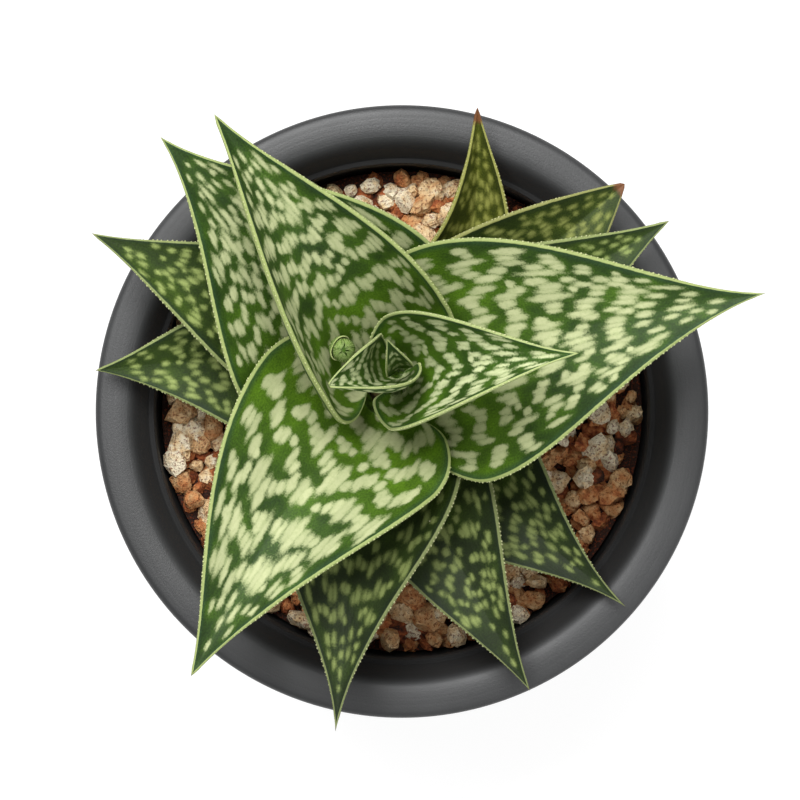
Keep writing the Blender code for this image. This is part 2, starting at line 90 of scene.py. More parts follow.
class Nodes:
    """Adds and links the nodes of one material or node group."""

    def __init__(self, tree: bpy.types.NodeTree) -> None:
        """Keep the tree that the nodes go into."""
        self.tree = tree

    def add(self, kind: str, **settings: object) -> bpy.types.Node:
        """Add a node and set its properties.

        Args:
            kind: The node's type name.
            **settings: Properties to set on it.

        Returns:
            The new node.
        """
        node = self.tree.nodes.new(kind)
        for name, value in settings.items():
            setattr(node, name, value)
        return node

    def feed(self, socket: Socket, value: object) -> None:
        """Link another node's output to a socket, or set the socket's own value.

        Args:
            socket: The input that is fed.
            value: An output socket, or a number, a vector or a colour.
        """
        if isinstance(value, bpy.types.NodeSocket):
            self.tree.links.new(value, socket)
        else:
            socket.default_value = value

    def math(self, operation: str, *values: object, clamp: bool = False) -> Socket:
        """Add a Math node.

        Args:
            operation: The node's operation.
            *values: Sockets or numbers that it works on.
            clamp: Whether the result is held between 0 and 1.

        Returns:
            The node's output.
        """
        node = self.add("ShaderNodeMath", operation=operation, use_clamp=clamp)
        for socket, value in zip(node.inputs, values):
            self.feed(socket, value)
        return node.outputs[0]

    def scaled(self, value: object, scale: float, offset: float = 0.0, clamp: bool = False) -> Socket:
        """Multiply a value and add an offset."""
        return self.math("MULTIPLY_ADD", value, scale, offset, clamp=clamp)

    def mix(self, factor: object, first: object, second: object, blend: str = "MIX") -> Socket:
        """Mix two colours by a factor.

        Args:
            factor: Share of the second colour.
            first: First colour.
            second: Second colour.
            blend: Blend type.

        Returns:
            The mixed colour's socket.
        """
        node = self.add("ShaderNodeMix", data_type="RGBA", blend_type=blend)
        self.feed(node.inputs[0], factor)
        self.feed(node.inputs[6], first)
        self.feed(node.inputs[7], second)
        return node.outputs[2]

    def grey(self, value: Socket) -> Socket:
        """Make a grey colour.

        Args:
            value: The value of all three colour parts.

        Returns:
            The colour's socket.
        """
        node = self.add("ShaderNodeCombineColor")
        for socket in node.inputs[:3]:
            self.feed(socket, value)
        return node.outputs[0]

    def ease(self, value: object, low: object, high: object,
             start: float = 0.0, end: float = 1.0) -> Socket:
        """Ease from start to end while a value goes from low to high, and hold outside.

        Args:
            value: The value that is read.
            low: The value that gives the start.
            high: The value that gives the end.
            start: Result on the side of low.
            end: Result on the side of high.

        Returns:
            The result's socket.
        """
        node = self.add("ShaderNodeMapRange", interpolation_type="SMOOTHSTEP")
        for socket, part in zip(node.inputs, (value, low, high, start, end)):
            self.feed(socket, part)
        return node.outputs[0]

    def stretch(self, vector: object, scale: Sequence[float]) -> Socket:
        """Scale a vector along its three axes.

        Args:
            vector: The vector.
            scale: Factor along each axis.

        Returns:
            The scaled vector's socket.
        """
        node = self.add("ShaderNodeMapping")
        self.feed(node.inputs["Vector"], vector)
        self.feed(node.inputs["Scale"], tuple(scale))
        return node.outputs[0]

    def noise(self, vector: object, scale: object, detail: float = 2.0, roughness: float = 0.5) -> Socket:
        """Add soft noise.

        Args:
            vector: Where the noise is read.
            scale: How fine it is.
            detail: How many finer layers it has.
            roughness: How strong those layers are.

        Returns:
            The noise's value, from 0 to 1.
        """
        node = self.add("ShaderNodeTexNoise")
        self.feed(node.inputs["Vector"], vector)
        self.feed(node.inputs["Scale"], scale)
        self.feed(node.inputs["Detail"], detail)
        self.feed(node.inputs["Roughness"], roughness)
        return node.outputs[0]

    def cells(self, vector: object, scale: object) -> bpy.types.Node:
        """Add a Voronoi texture.

        Args:
            vector: Where the texture is read.
            scale: How fine it is.

        Returns:
            The texture's node.
        """
        node = self.add("ShaderNodeTexVoronoi")
        self.feed(node.inputs["Vector"], vector)
        self.feed(node.inputs["Scale"], scale)
        return node

    def ramp(self, factor: object, stops: Sequence[tuple[float, Colour]]) -> Socket:
        """Look a factor up in a colour ramp.

        Args:
            factor: The factor, from 0 to 1.
            stops: Position and colour of each stop.

        Returns:
            The colour's socket.
        """
        node = self.add("ShaderNodeValToRGB")
        self.feed(node.inputs[0], factor)
        elements = node.color_ramp.elements
        while len(elements) < len(stops):
            elements.new(1.0)
        for element, (position, colour) in zip(elements, stops):
            element.position = position
            element.color = colour
        return node.outputs[0]

    def value(self, name: str) -> Socket:
        """Read one of the mesh's own values."""
        return self.add("ShaderNodeAttribute", attribute_name=name).outputs["Fac"]

    def place(self) -> Socket:
        """Object coordinates in millimetres."""
        return self.stretch(self.add("ShaderNodeTexCoord").outputs["Object"], (1 / MM, 1 / MM, 1 / MM))

    def group(self, group: bpy.types.NodeTree, **inputs: object) -> bpy.types.Node:
        """Place a node group.

        Args:
            group: The group's tree.
            **inputs: What its inputs get, by name, with spaces written as underscores.

        Returns:
            The group's node.
        """
        node = self.add("ShaderNodeGroup", node_tree=group)
        for name, value in inputs.items():
            self.feed(node.inputs[name.replace("_", " ")], value)
        return node

    def bump(self, height: object, depth: float, strength: float = 1.0) -> Socket:
        """Turn a height of 0 to 1 into a normal.

        Args:
            height: The height.
            depth: Depth of the relief in millimetres.
            strength: Share of the relief that shows.

        Returns:
            The normal's socket.
        """
        node = self.add("ShaderNodeBump")
        self.feed(node.inputs["Height"], height)
        self.feed(node.inputs["Distance"], depth * MM)
        self.feed(node.inputs["Strength"], strength)
        return node.outputs[0]


def new_group(name: str, inputs: dict[str, str],
              outputs: dict[str, str]) -> tuple[bpy.types.NodeTree, Nodes, Sockets, Sockets]:
    """Start a shader node group with named sockets.

    Args:
        name: The group's name.
        inputs: Kind of each input by name.
        outputs: Kind of each output by name.

    Returns:
        The group's tree, its node builder, its input sockets and its output sockets.
    """
    tree = bpy.data.node_groups.new(name, "ShaderNodeTree")
    for sockets, way in ((inputs, "INPUT"), (outputs, "OUTPUT")):
        for label, kind in sockets.items():
            tree.interface.new_socket(label, in_out=way, socket_type=f"NodeSocket{kind}")
    nodes = Nodes(tree)
    return tree, nodes, nodes.add("NodeGroupInput").outputs, nodes.add("NodeGroupOutput").inputs


def grain_group() -> bpy.types.NodeTree:
    """Grain of a surface: soft patches, a finer relief and a few random specks.

    Returns:
        A group that puts out Patches, Relief and Specks, each from 0 to 1.
    """
    inputs = {"Place": "Vector", "Patch Scale": "Float", "Grain Scale": "Float",
              "Speck Scale": "Float", "Speck Size": "Float"}
    outputs = {"Patches": "Float", "Relief": "Float", "Specks": "Float"}
    tree, nodes, given, out = new_group("surface_grain", inputs, outputs)
    nodes.feed(out["Patches"], nodes.noise(given["Place"], given["Patch Scale"], 3.0, 0.6))
    nodes.feed(out["Relief"], nodes.noise(given["Place"], given["Grain Scale"], 3.0, 0.65))
    cells = nodes.cells(given["Place"], given["Speck Scale"])
    draw = nodes.add("ShaderNodeSeparateColor")
    nodes.feed(draw.inputs[0], cells.outputs["Color"])
    size = nodes.math("MULTIPLY", given["Speck Size"], draw.outputs["Green"])
    near = nodes.math("LESS_THAN", cells.outputs["Distance"], size)
    chosen = nodes.math("GREATER_THAN", draw.outputs["Red"], 0.75)
    nodes.feed(out["Specks"], nodes.math("MULTIPLY", near, chosen))
    return tree


def skin_group() -> bpy.types.NodeTree:
    """Skin of a tiger aloe's leaf: green ground, pale dashes, pale border, small teeth, dry tip.

    The dashes are where the mesh's marking, a distance in millimetres, is above nought. The rim is
    the distance from the margin in widths of the pale border, and is negative on teeth.

    Returns:
        A group that puts out Color, Pale (a mask) and Relief.
    """
    inputs = {"Marking": "Float", "Strength": "Float", "Rim": "Float", "Tipward": "Float",
              "Skin": "Vector", "Deep": "Color", "Dark": "Color", "Fresh": "Color", "Pale": "Color",
              "Border": "Color", "Tip": "Color", "Softness": "Float", "Contrast": "Float",
              "Tip Start": "Float"}
    outputs = {"Color": "Color", "Pale": "Float", "Relief": "Float"}
    tree, nodes, given, out = new_group("tiger_skin", inputs, outputs)
    fresh, marking, rim = given["Fresh"], given["Marking"], given["Rim"]
    streaks = nodes.noise(nodes.stretch(given["Skin"], (0.12, 1.3, 1.0)), 1.0, 3.0, 0.6)
    clouds = nodes.noise(given["Skin"], 0.13, 2.0)
    mottle = nodes.noise(given["Skin"], 1.15, 3.0, 0.65)
    pores = nodes.noise(given["Skin"], 2.7, 2.0, 0.7)

    # Where dashes show: the marking, made uneven by the skin's own mottle and pores.
    level = nodes.math("ADD", marking, nodes.scaled(mottle, 0.5, -0.25))
    level = nodes.math("ADD", level, nodes.scaled(pores, 0.5, -0.25))
    pale = nodes.ease(level, nodes.scaled(given["Softness"], -1.0), given["Softness"])
    shown = nodes.math("MULTIPLY", pale, nodes.math("MULTIPLY", given["Contrast"], given["Strength"]))

    # The ground: fresh green at the foot, dark towards the tip, deep beside the border.
    freshness = nodes.ease(given["Tipward"], 0.05, 0.6, 0.9, 0.0)
    freshness = nodes.math("ADD", freshness, nodes.scaled(clouds, 1.4, -0.7), clamp=True)
    ground = nodes.mix(freshness, given["Dark"], fresh)
    ground = nodes.mix(nodes.ease(rim, 1.0, 4.5, 0.75, 0.0), ground, given["Deep"])
    ground = nodes.mix(nodes.ease(marking, -0.9, 0.0, 0.0, 0.22), ground, fresh)
    ground = nodes.mix(1.0, ground, nodes.grey(nodes.scaled(pores, 1.8, 0.1)), "MULTIPLY")
    ground = nodes.mix(1.0, ground, nodes.grey(nodes.scaled(clouds, 1.0, 0.48)), "MULTIPLY")

    # The dashes: thinner towards their outlines, with faint streaks along the leaf.
    thin = nodes.ease(level, 0.5, 0.0, 0.05, 0.45)
    thin = nodes.math("ADD", thin, nodes.scaled(streaks, 0.6, -0.3))
    thin = nodes.math("ADD", thin, nodes.scaled(mottle, 1.2, -0.6), clamp=True)
    dash = nodes.mix(thin, given["Pale"], nodes.mix(0.6, given["Pale"], fresh))
    colour = nodes.mix(shown, ground, dash)

    # The margin: pale border, paler teeth and the dry tip.
    edge_place = nodes.math("ADD", rim, nodes.scaled(streaks, 0.5, -0.25))
    border = nodes.ease(edge_place, 1.15, 0.75)
    edge = nodes.mix(streaks, given["Border"], nodes.mix(0.45, given["Border"], fresh))
    colour = nodes.mix(border, colour, edge)
    colour = nodes.mix(nodes.ease(rim, -0.02, -0.6, 0.0, 0.4), colour, TOOTH_COLOUR)
    tipward = nodes.math("ADD", given["Tipward"], nodes.scaled(mottle, 0.03, -0.015))
    tip = nodes.ease(nodes.math("SUBTRACT", tipward, given["Tip Start"]), 0.0, 0.02)
    nodes.feed(out["Color"], nodes.mix(tip, colour, given["Tip"]))
    nodes.feed(out["Pale"], shown)
    nodes.feed(out["Relief"], nodes.math("ADD", nodes.scaled(pores, 0.4), nodes.scaled(streaks, 0.6)))
    return tree


def new_material(name: str, gloss: float) -> tuple[bpy.types.Material, Nodes, Sockets]:
    """Start a material with one Principled shader.

    Args:
        name: The material's name.
        gloss: Its specular level.

    Returns:
        The material, its node builder and its shader's inputs.
    """
    material = bpy.data.materials.new(name)
    material.use_nodes = True
    nodes = Nodes(material.node_tree)
    shader = material.node_tree.nodes["Principled BSDF"].inputs
    shader["Specular IOR Level"].default_value = gloss
    return material, nodes, shader


@dataclass(frozen=True)
class LeafFinish:
    """Colours and gloss of the leaves of one age.

    Attributes:
        name: The material's name.
        deep: Green beside the pale border.
        dark: Green of the ground towards the tip.
        fresh: Green of the ground towards the foot, and round the dashes.
        pale: Colour of the dashes.
        border: Colour of the border along the margins.
        tip: Colour of the dry tip.
        softness: Width of a dash's soft outline on each side, in millimetres.
        contrast: How far a dash covers the ground.
        tip_start: Share of the length at which the dry tip starts.
        roughness: Mean roughness of the green ground.
    """

    name: str
    deep: Colour
    dark: Colour
    fresh: Colour
    pale: Colour
    border: Colour
    tip: Colour
    softness: float
    contrast: float
    tip_start: float = 0.985
    roughness: float = 0.56

    def material(self, skin: bpy.types.NodeTree, grain: bpy.types.NodeTree) -> bpy.types.Material:
        """Make the finish a material.

        Args:
            skin: The group of the leaf's markings.
            grain: The group of the surface's grain.

        Returns:
            The material.
        """
        material, nodes, shader = new_material(self.name, 0.2)
        place = nodes.add("ShaderNodeUVMap", uv_map="skin").outputs[0]
        marks = nodes.group(
            skin, Marking=nodes.value("marking"), Strength=nodes.value("strength"), Rim=nodes.value("rim"),
            Tipward=nodes.value("tipward"), Skin=place, Deep=self.deep, Dark=self.dark, Fresh=self.fresh,
            Pale=self.pale, Border=self.border, Tip=self.tip, Softness=self.softness,
            Contrast=self.contrast, Tip_Start=self.tip_start,
        ).outputs
        dust = nodes.group(
            grain, Place=place, Patch_Scale=0.25, Grain_Scale=5.0, Speck_Scale=0.13, Speck_Size=0.035,
        ).outputs
        colour = nodes.mix(nodes.scaled(dust["Specks"], 0.7), marks["Color"], LEAF_DUST)
        nodes.feed(shader["Base Color"], colour)
        gloss = nodes.math("ADD", nodes.scaled(dust["Patches"], 0.22, self.roughness - 0.11),
                           nodes.scaled(marks["Pale"], 0.08))
        nodes.feed(shader["Roughness"], gloss)
        nodes.feed(shader["Normal"], nodes.bump(marks["Relief"], 0.16, 0.9))
        return material


@dataclass(frozen=True)
class PlasticFinish:
    """Satin charcoal plastic: faint turning marks, scuffs, dust, and painted shade inside the rim.

    Attributes:
        name: The material's name.
        body: Colour of clean plastic.
        worn: Colour of scuffed plastic.
        hollow_shade: Painted shade: the dark colour of the wall inside the rim, where little light falls.
        hollow_shade_radii: Radii at which that colour starts and is full.
        hollow_shade_heights: Heights at which that colour starts and is full.
        dust: Colour of dust specks.
    """

    name: str = "satin_charcoal_plastic"
    body: Colour = shade(30, 31, 32)
    worn: Colour = shade(46, 47, 48)
    hollow_shade: Colour = shade(8, 8, 8)
    hollow_shade_radii: tuple[float, float] = (54.0, 51.8)
    hollow_shade_heights: tuple[float, float] = (86.0, 90.0)
    dust: Colour = shade(178, 172, 160)

    def material(self, grain: bpy.types.NodeTree) -> bpy.types.Material:
        """Make the finish a material.

        Args:
            grain: The group of the surface's grain.

        Returns:
            The material.
        """
        material, nodes, shader = new_material(self.name, 0.6)
        place = nodes.place()
        parts = nodes.add("ShaderNodeSeparateXYZ")
        nodes.feed(parts.inputs[0], place)
        x, y, height = parts.outputs
        squares = nodes.math("ADD", nodes.math("POWER", x, 2.0), nodes.math("POWER", y, 2.0))
        radius = nodes.math("SQRT", squares)
        turned = nodes.add("ShaderNodeCombineXYZ")
        nodes.feed(turned.inputs[0], radius)
        nodes.feed(turned.inputs[1], height)
        rings = nodes.noise(turned.outputs[0], 1.6, 3.0, 0.7)
        marks = nodes.group(
            grain, Place=place, Patch_Scale=0.045, Grain_Scale=2.6, Speck_Scale=0.12, Speck_Size=0.045,
        ).outputs
        scuffs = nodes.ease(marks["Patches"], 0.35, 0.75)
        wear = nodes.math("MULTIPLY", scuffs, nodes.scaled(rings, 1.2, 0.1))
        colour = nodes.mix(wear, self.body, self.worn)
        colour = nodes.mix(nodes.scaled(marks["Relief"], 0.5, -0.1, clamp=True), colour, self.worn)
        colour = nodes.mix(nodes.scaled(marks["Specks"], 0.75), colour, self.dust)
        # Painted shade on the wall inside the rim, where little light falls; the mask also roughens it.
        inward, upper = nodes.ease(radius, *self.hollow_shade_radii), nodes.ease(height, *self.hollow_shade_heights)
        inside = nodes.math("MULTIPLY", inward, upper)
        colour = nodes.mix(inside, colour, self.hollow_shade)
        nodes.feed(shader["Base Color"], colour)
        rough = nodes.math("ADD", nodes.scaled(marks["Patches"], 0.22, 0.34), nodes.scaled(rings, 0.14))
        nodes.feed(shader["Roughness"], nodes.math("ADD", rough, nodes.scaled(inside, 0.4)))
        relief = nodes.math("ADD", nodes.scaled(marks["Relief"], 0.6), nodes.scaled(rings, 0.4))
        nodes.feed(shader["Normal"], nodes.bump(relief, 0.10, 0.6))
        return material


@dataclass(frozen=True)
class StoneFinish:
    """Crushed stone: each grain has its own tone, mottled with finer spots.

    Attributes:
        name: The material's name.
        tones: Position and colour of each tone, from the darkest to the palest.
        stain: Colour of rusty stains.
        speck: Colour of dark specks.
    """

    name: str = "crushed_stone"
    tones: tuple[tuple[float, Colour], ...] = (
        (0.00, shade(48, 26, 16)),
        (0.12, shade(120, 62, 34)),
        (0.25, shade(176, 98, 54)),
        (0.40, shade(205, 138, 84)),
        (0.55, shade(214, 164, 112)),
        (0.70, shade(224, 186, 136)),
        (0.85, shade(240, 212, 166)),
        (1.00, shade(246, 232, 202)),
    )
    stain: Colour = shade(130, 58, 26)
    speck: Colour = shade(96, 56, 36)

    def material(self, grain: bpy.types.NodeTree) -> bpy.types.Material:
        """Make the finish a material.

        Args:
            grain: The group of the surface's grain.

        Returns:
            The material.
        """
        material, nodes, shader = new_material(self.name, 0.35)
        marks = nodes.group(
            grain, Place=nodes.place(), Patch_Scale=0.5, Grain_Scale=1.9, Speck_Scale=1.0, Speck_Size=0.34,
        ).outputs
        mottle = nodes.scaled(marks["Patches"], 1.0, -0.47)
        tone = nodes.math("ADD", nodes.value("tone"), mottle, clamp=True)
        colour = nodes.ramp(tone, self.tones)
        stained = nodes.scaled(nodes.ease(marks["Relief"], 0.54, 0.62), 0.75)
        colour = nodes.mix(stained, colour, self.stain)
        colour = nodes.mix(nodes.scaled(marks["Specks"], 0.35), colour, self.speck)
        nodes.feed(shader["Base Color"], colour)
        nodes.feed(shader["Roughness"], nodes.scaled(marks["Patches"], 0.3, 0.6))
        nodes.feed(shader["Normal"], nodes.bump(marks["Relief"], 1.1, 0.95))
        return material


@dataclass(frozen=True)
class EarthFinish:
    """A rough brown stuff in two tones, such as soil or a woody stem.

    Attributes:
        name: The material's name.
        deep: Its darker tone.
        light: Its lighter tone.
        patch_scale: How fine its soft patches are.
        grain_scale: How fine its relief is.
        depth: Depth of the relief in millimetres.
    """

    name: str
    deep: Colour
    light: Colour
    patch_scale: float
    grain_scale: float
    depth: float

    def material(self, grain: bpy.types.NodeTree) -> bpy.types.Material:
        """Make the finish a material.

        Args:
            grain: The group of the surface's grain.

        Returns:
            The material.
        """
        material, nodes, shader = new_material(self.name, 0.3)
        marks = nodes.group(
            grain, Place=nodes.place(), Patch_Scale=self.patch_scale, Grain_Scale=self.grain_scale,
            Speck_Scale=0.9, Speck_Size=0.3,
        ).outputs
        colour = nodes.mix(nodes.ease(marks["Patches"], 0.3, 0.7), self.deep, self.light)
        colour = nodes.mix(nodes.scaled(marks["Specks"], 0.4), colour, self.light)
        nodes.feed(shader["Base Color"], colour)
        nodes.feed(shader["Roughness"], nodes.scaled(marks["Patches"], 0.2, 0.72))
        nodes.feed(shader["Normal"], nodes.bump(marks["Relief"], self.depth))
        return material


@dataclass
class Surface:
    """A mesh in the making.

    Attributes:
        points: Points in millimetres, one row each.
        quads: Faces of four points, as rows of point numbers.
        tris: Faces of three points, as rows of point numbers.
        values: Named values, one a point.
        skin: Places on the surface in millimetres, one row a point.
    """

    points: np.ndarray
    quads: np.ndarray
    tris: np.ndarray
    values: dict[str, np.ndarray] = field(default_factory=dict)
    skin: np.ndarray | None = None

    @staticmethod
    def join(parts: Sequence["Surface"]) -> "Surface":
        """Put several surfaces into one.

        Args:
            parts: The surfaces. All of them have the values that the first one has.

        Returns:
            The joined surface.
        """
        starts = np.cumsum([0] + [len(part.points) for part in parts[:-1]])
        return Surface(
            np.concatenate([part.points for part in parts]),
            np.concatenate([part.quads + start for part, start in zip(parts, starts)]),
            np.concatenate([part.tris + start for part, start in zip(parts, starts)]),
            {name: np.concatenate([part.values[name] for part in parts]) for name in parts[0].values},
            None if parts[0].skin is None else np.concatenate([part.skin for part in parts]),
        )

    def outward(self) -> "Surface":
        """Turn all faces round if the closed surface's volume, summed over its faces, is negative.

        Returns:
            The same surface.
        """
        halves = [self.tris, self.quads[:, [0, 1, 2]], self.quads[:, [0, 2, 3]]]
        corners = self.points[np.concatenate(halves)]
        volume = np.einsum("ij,ij->i", corners[:, 0], np.cross(corners[:, 1], corners[:, 2])).sum()
        if volume < 0:
            self.quads = self.quads[:, ::-1]
            self.tris = self.tris[:, ::-1]
        return self

    def moved(self, heading: float, offset: np.ndarray) -> "Surface":
        """Turn the points about Z, then move them.

        Args:
            heading: The turn in degrees.
            offset: The move in millimetres.

        Returns:
            The same surface.
        """
        angle = math.radians(heading)
        cosine, sine = math.cos(angle), math.sin(angle)
        turn = np.array([[cosine, -sine, 0.0], [sine, cosine, 0.0], [0.0, 0.0, 1.0]])
        self.points = self.points @ turn.T + offset
        return self

    def piece(self, name: str, material: bpy.types.Material, slot: Slot, node: str) -> bpy.types.Object:
        """Make the surface a piece of the scene, standing for a CAD node.

        Args:
            name: The piece's name.
            material: Its material.
            slot: The record's material slot; not used.
            node: The CAD node that it replaces.

        Returns:
            The piece.
        """
        mesh = bpy.data.meshes.new(name)
        mesh.from_pydata((self.points * MM).tolist(), [], self.quads.tolist() + self.tris.tolist())
        for label, numbers in self.values.items():
            layer = mesh.attributes.new(label, "FLOAT", "POINT")
            layer.data.foreach_set("value", numbers.astype(np.float32))
        if self.skin is not None:
            corners = np.empty(len(mesh.loops), np.int32)
            mesh.loops.foreach_get("vertex_index", corners)
            layer = mesh.uv_layers.new(name="skin")
            layer.data.foreach_set("uv", self.skin[corners].astype(np.float32).ravel())
        mesh.materials.append(material)
        mesh.shade_smooth()
        mesh.validate()
        piece = bpy.data.objects.new(name, mesh)
        bpy.context.scene.collection.objects.link(piece)
        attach(piece, "root")
        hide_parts(node)
        log.info("%s: %d faces", name, len(mesh.polygons))
        return piece


def ring_skin(rings: int, around: int) -> tuple[np.ndarray, np.ndarray]:
    """Faces of a closed tube over rings of points, with a fan to a foot point and one to a tip point.

    Args:
        rings: How many rings there are.
        around: Points in each ring. The foot and tip points come after the rings.

    Returns:
        The quads and the triangles.
    """
    near = np.arange(around)
    after = (near + 1) % around
    start = (np.arange(rings - 1) * around)[:, None]
    quads = np.stack([start + near, start + after, start + around + after, start + around + near], axis=-1)
    last = (rings - 1) * around
    foot = np.stack([np.full(around, rings * around), after, near], axis=-1)
    tip = np.stack([last + near, last + after, np.full(around, rings * around + 1)], axis=-1)
    return quads.reshape(-1, 4), np.concatenate([foot, tip])


def rounded(corners: Sequence[tuple[float, float, float]], steps: int = 7) -> np.ndarray:
    """Round the corners of an open path with short parabolas.

    Args:
        corners: Radius, height and rounding distance of each corner.
        steps: Points that replace each rounded corner.

    Returns:
        Points of radius and height.
    """
    points = [np.array(corners[0][:2])]
    for before, corner, after in zip(corners, corners[1:], corners[2:]):
        middle = np.array(corner[:2])
        if corner[2] == 0.0:
            points.append(middle)
            continue
        ends = []
        for other in (before, after):
            way = np.array(other[:2]) - middle
            ends.append(middle + way * min(corner[2] / np.linalg.norm(way), 0.499))
        t = np.linspace(0.0, 1.0, steps)[:, None]
        points.extend((1 - t) ** 2 * ends[0] + 2 * t * (1 - t) * middle + t * t * ends[1])
    points.append(np.array(corners[-1][:2]))
    return np.array(points)


def lathe(profile: np.ndarray, steps: int) -> Surface:
    """Turn a profile about Z. Its first and last points lie on the axis and close the form.

    Args:
        profile: Points of radius and height.
        steps: Points around.

    Returns:
        The closed surface.
    """
    angle = np.linspace(0.0, 2 * math.pi, steps, endpoint=False)
    radius, height = profile[1:-1, :1], profile[1:-1, 1:]
    rings = np.stack([radius * np.cos(angle), radius * np.sin(angle), height + 0 * angle], axis=-1)
    ends = [[0.0, 0.0, profile[0, 1]], [0.0, 0.0, profile[-1, 1]]]
    quads, tris = ring_skin(len(rings), steps)
    return Surface(np.vstack([rings.reshape(-1, 3), ends]), quads, tris).outward()


def smooth_step(x: np.ndarray) -> np.ndarray:
    """Ease from 0 to 1 as x goes from 0 to 1, and hold outside."""
    x = np.clip(x, 0.0, 1.0)
    return x * x * (3.0 - 2.0 * x)


def triangle_wave(x: np.ndarray) -> np.ndarray:
    """A wave of straight slopes between -1 and 1, with a period of 1."""
    return 4.0 * np.abs((x + 0.25) % 1.0 - 0.5) - 1.0


@dataclass(frozen=True)
class Markings:
    """Pale dashes of a leaf, which lie along its veins and line up in wavy bands across it.

    Attributes:
        seed: Seed of the leaf's random draws, its number from the oldest leaf.
        sparse: How high the waves' total must be for a dash: 0 covers half the leaf.
        band_step: Mean distance from band to band along the leaf.
        band_turn: Spread of the waves' directions about the leaf's length, in degrees.
        column_step: Distance from vein to vein.
        radius: Half width of a dash.
        zigzag: How far the bands swing to and fro from vein to vein.
        chevron: Slope of the bands away from the midrib, towards the foot.
        loose: Share of each vein's own waves at the foot, which break the bands up.
        strip: Width of the plain strip along the margins.
        warp: How far the dashes' outlines wander.
    """

    seed: int
    sparse: float = -0.05
    band_step: float = 7.6
    band_turn: float = 24.0
    column_step: float = 1.54
    radius: float = 0.79
    zigzag: float = 1.7
    chevron: float = 0.0
    loose: float = 0.35
    strip: float = 1.8
    warp: float = 0.16

    # How far a vein strays, in shares of the step, and how many veins a zigzag takes.
    VEIN_STRAY = 0.24
    ZIGZAG_VEINS = (4.2, 5.4)
    # Waves of the bands and of each vein, and how they change towards the tip.
    BAND_WAVES = 40
    VEIN_WAVES = 12
    STEP_SPREAD = (0.75, 1.3)
    ANY_PHASE = 6.3
    QUICKENING = 0.25
    LOOSENING = 0.42
    LOOSEST = 0.9
    FILLING = 0.12
    # Form of a dash: fullness of its oval, reach of the flow between dashes, room round it.
    FULLNESS = 2.6
    BLEND = 0.45
    ROOM = 2.8
    OUTSIDE = -2.0
    # Squeezes of the veins below which every second and every fourth one goes on alone.
    HALF_OF_VEINS = 0.56
    QUARTER_OF_VEINS = 0.32
    WANDER_WAVES = (7.0, 5.0, 3.7, 2.9, 2.3)

    def dashes(self, along: np.ndarray, widest: float, side: int) -> np.ndarray:
        """Draw the dashes of one face.

        The bands are a sum of cosine waves that run more or less along the leaf, bent to a zigzag and
        a chevron. Each vein adds a sum of its own, which counts for more towards the tip. All waves
        get shorter towards the tip. A dash lies where the total is high.

        Args:
            along: Distances along the leaf, in even steps.
            widest: Its greatest vein coordinate.
            side: 0 for the upper face, 1 for the lower.

        Returns:
            Distance along, vein, half length, half width, strength and vein number, one row a dash.
        """
        draw = np.random.default_rng(self.seed * 10 + side)
        half = int(widest / self.column_step)
        columns = np.arange(-half, half + 1)
        stray = draw.uniform(-self.VEIN_STRAY, self.VEIN_STRAY, len(columns))
        vein = (columns + stray) * self.column_step
        swing = columns / draw.uniform(*self.ZIGZAG_VEINS) + 0.25 * np.sin(along / 4.0)[:, None]
        swing = swing + draw.uniform()
        part = along[:, None] / along[-1]
        pace = along[:, None] * (1.0 + self.QUICKENING * part ** 2)
        bent = pace + self.zigzag * triangle_wave(swing) + self.chevron * np.abs(vein)
        scale = 2 * math.pi / (self.band_step * draw.uniform(*self.STEP_SPREAD, self.BAND_WAVES))
        turn = np.radians(draw.normal(0.0, self.band_turn, self.BAND_WAVES))
        waves = scale * (np.cos(turn) * bent[..., None] + np.sin(turn) * vein[:, None])
        phases = draw.uniform(0.0, self.ANY_PHASE, self.BAND_WAVES)
        bands = np.cos(waves + phases).sum(axis=-1) / (self.BAND_WAVES / 2) ** 0.5
        each = (len(columns), self.VEIN_WAVES)
        scale = 2 * math.pi / (self.band_step * draw.uniform(*self.STEP_SPREAD, each))
        waves = scale * pace[..., None] + draw.uniform(0.0, self.ANY_PHASE, each)
        own = np.cos(waves).sum(axis=-1) / (self.VEIN_WAVES / 2) ** 0.5
        loosened = self.loose + self.LOOSENING * smooth_step((part - 0.35) * 2.0)
        share = np.minimum(loosened, self.LOOSEST)
        level = self.sparse - self.FILLING * smooth_step((part - 0.3) * 2.0)
        high = (1.0 - share ** 2) ** 0.5 * bands + share * own > level
        change = np.diff(np.pad(high, ((1, 1), (0, 0))).astype(int), axis=0).T
        column, start = np.nonzero(change == 1)
        end = np.nonzero(change == -1)[1] - 1
        count = len(start)
        radius = self.radius * draw.uniform(0.8, 1.12, count) * (1.06 - 0.24 * along[start] / along[-1])
        span = along[end] - along[start] + draw.uniform(-0.5, 0.9, count) * self.radius
        middle = (along[start] + along[end]) / 2 + draw.uniform(-0.5, 0.5, count) * self.radius
        rows = np.stack([middle, vein[column], np.maximum(span / 2 + 0.3 * radius, 1.1 * radius),
                         radius, draw.uniform(0.82, 1.0, count), columns[column]], axis=-1)
        return rows[span > 0.9 * self.radius]

    def wander(self, along: np.ndarray, vein: np.ndarray, side: int) -> tuple[np.ndarray, np.ndarray]:
        """Shifts that let the dashes' outlines wander, each a sum of waves in random directions.

        Args:
            along: Distance along the leaf of each station.
            vein: Vein coordinate of every point, a row a station.
            side: 0 for the upper face, 1 for the lower.

        Returns:
            The shift along and the shift across at every point.
        """
        draw = np.random.default_rng(self.seed * 10 + side + 3)
        result = []
        for _ in range(2):
            total = np.zeros(vein.shape)
            for wavelength in self.WANDER_WAVES:
                angle = draw.uniform(0.0, math.pi)
                scale = 2 * math.pi / (wavelength * self.radius)
                phase = scale * (math.cos(angle) * along[:, None] + math.sin(angle) * vein)
                total += np.sin(phase + draw.uniform(0.0, self.ANY_PHASE))
            result.append(total * self.warp / len(self.WANDER_WAVES) ** 0.5)
        return result[0], result[1]

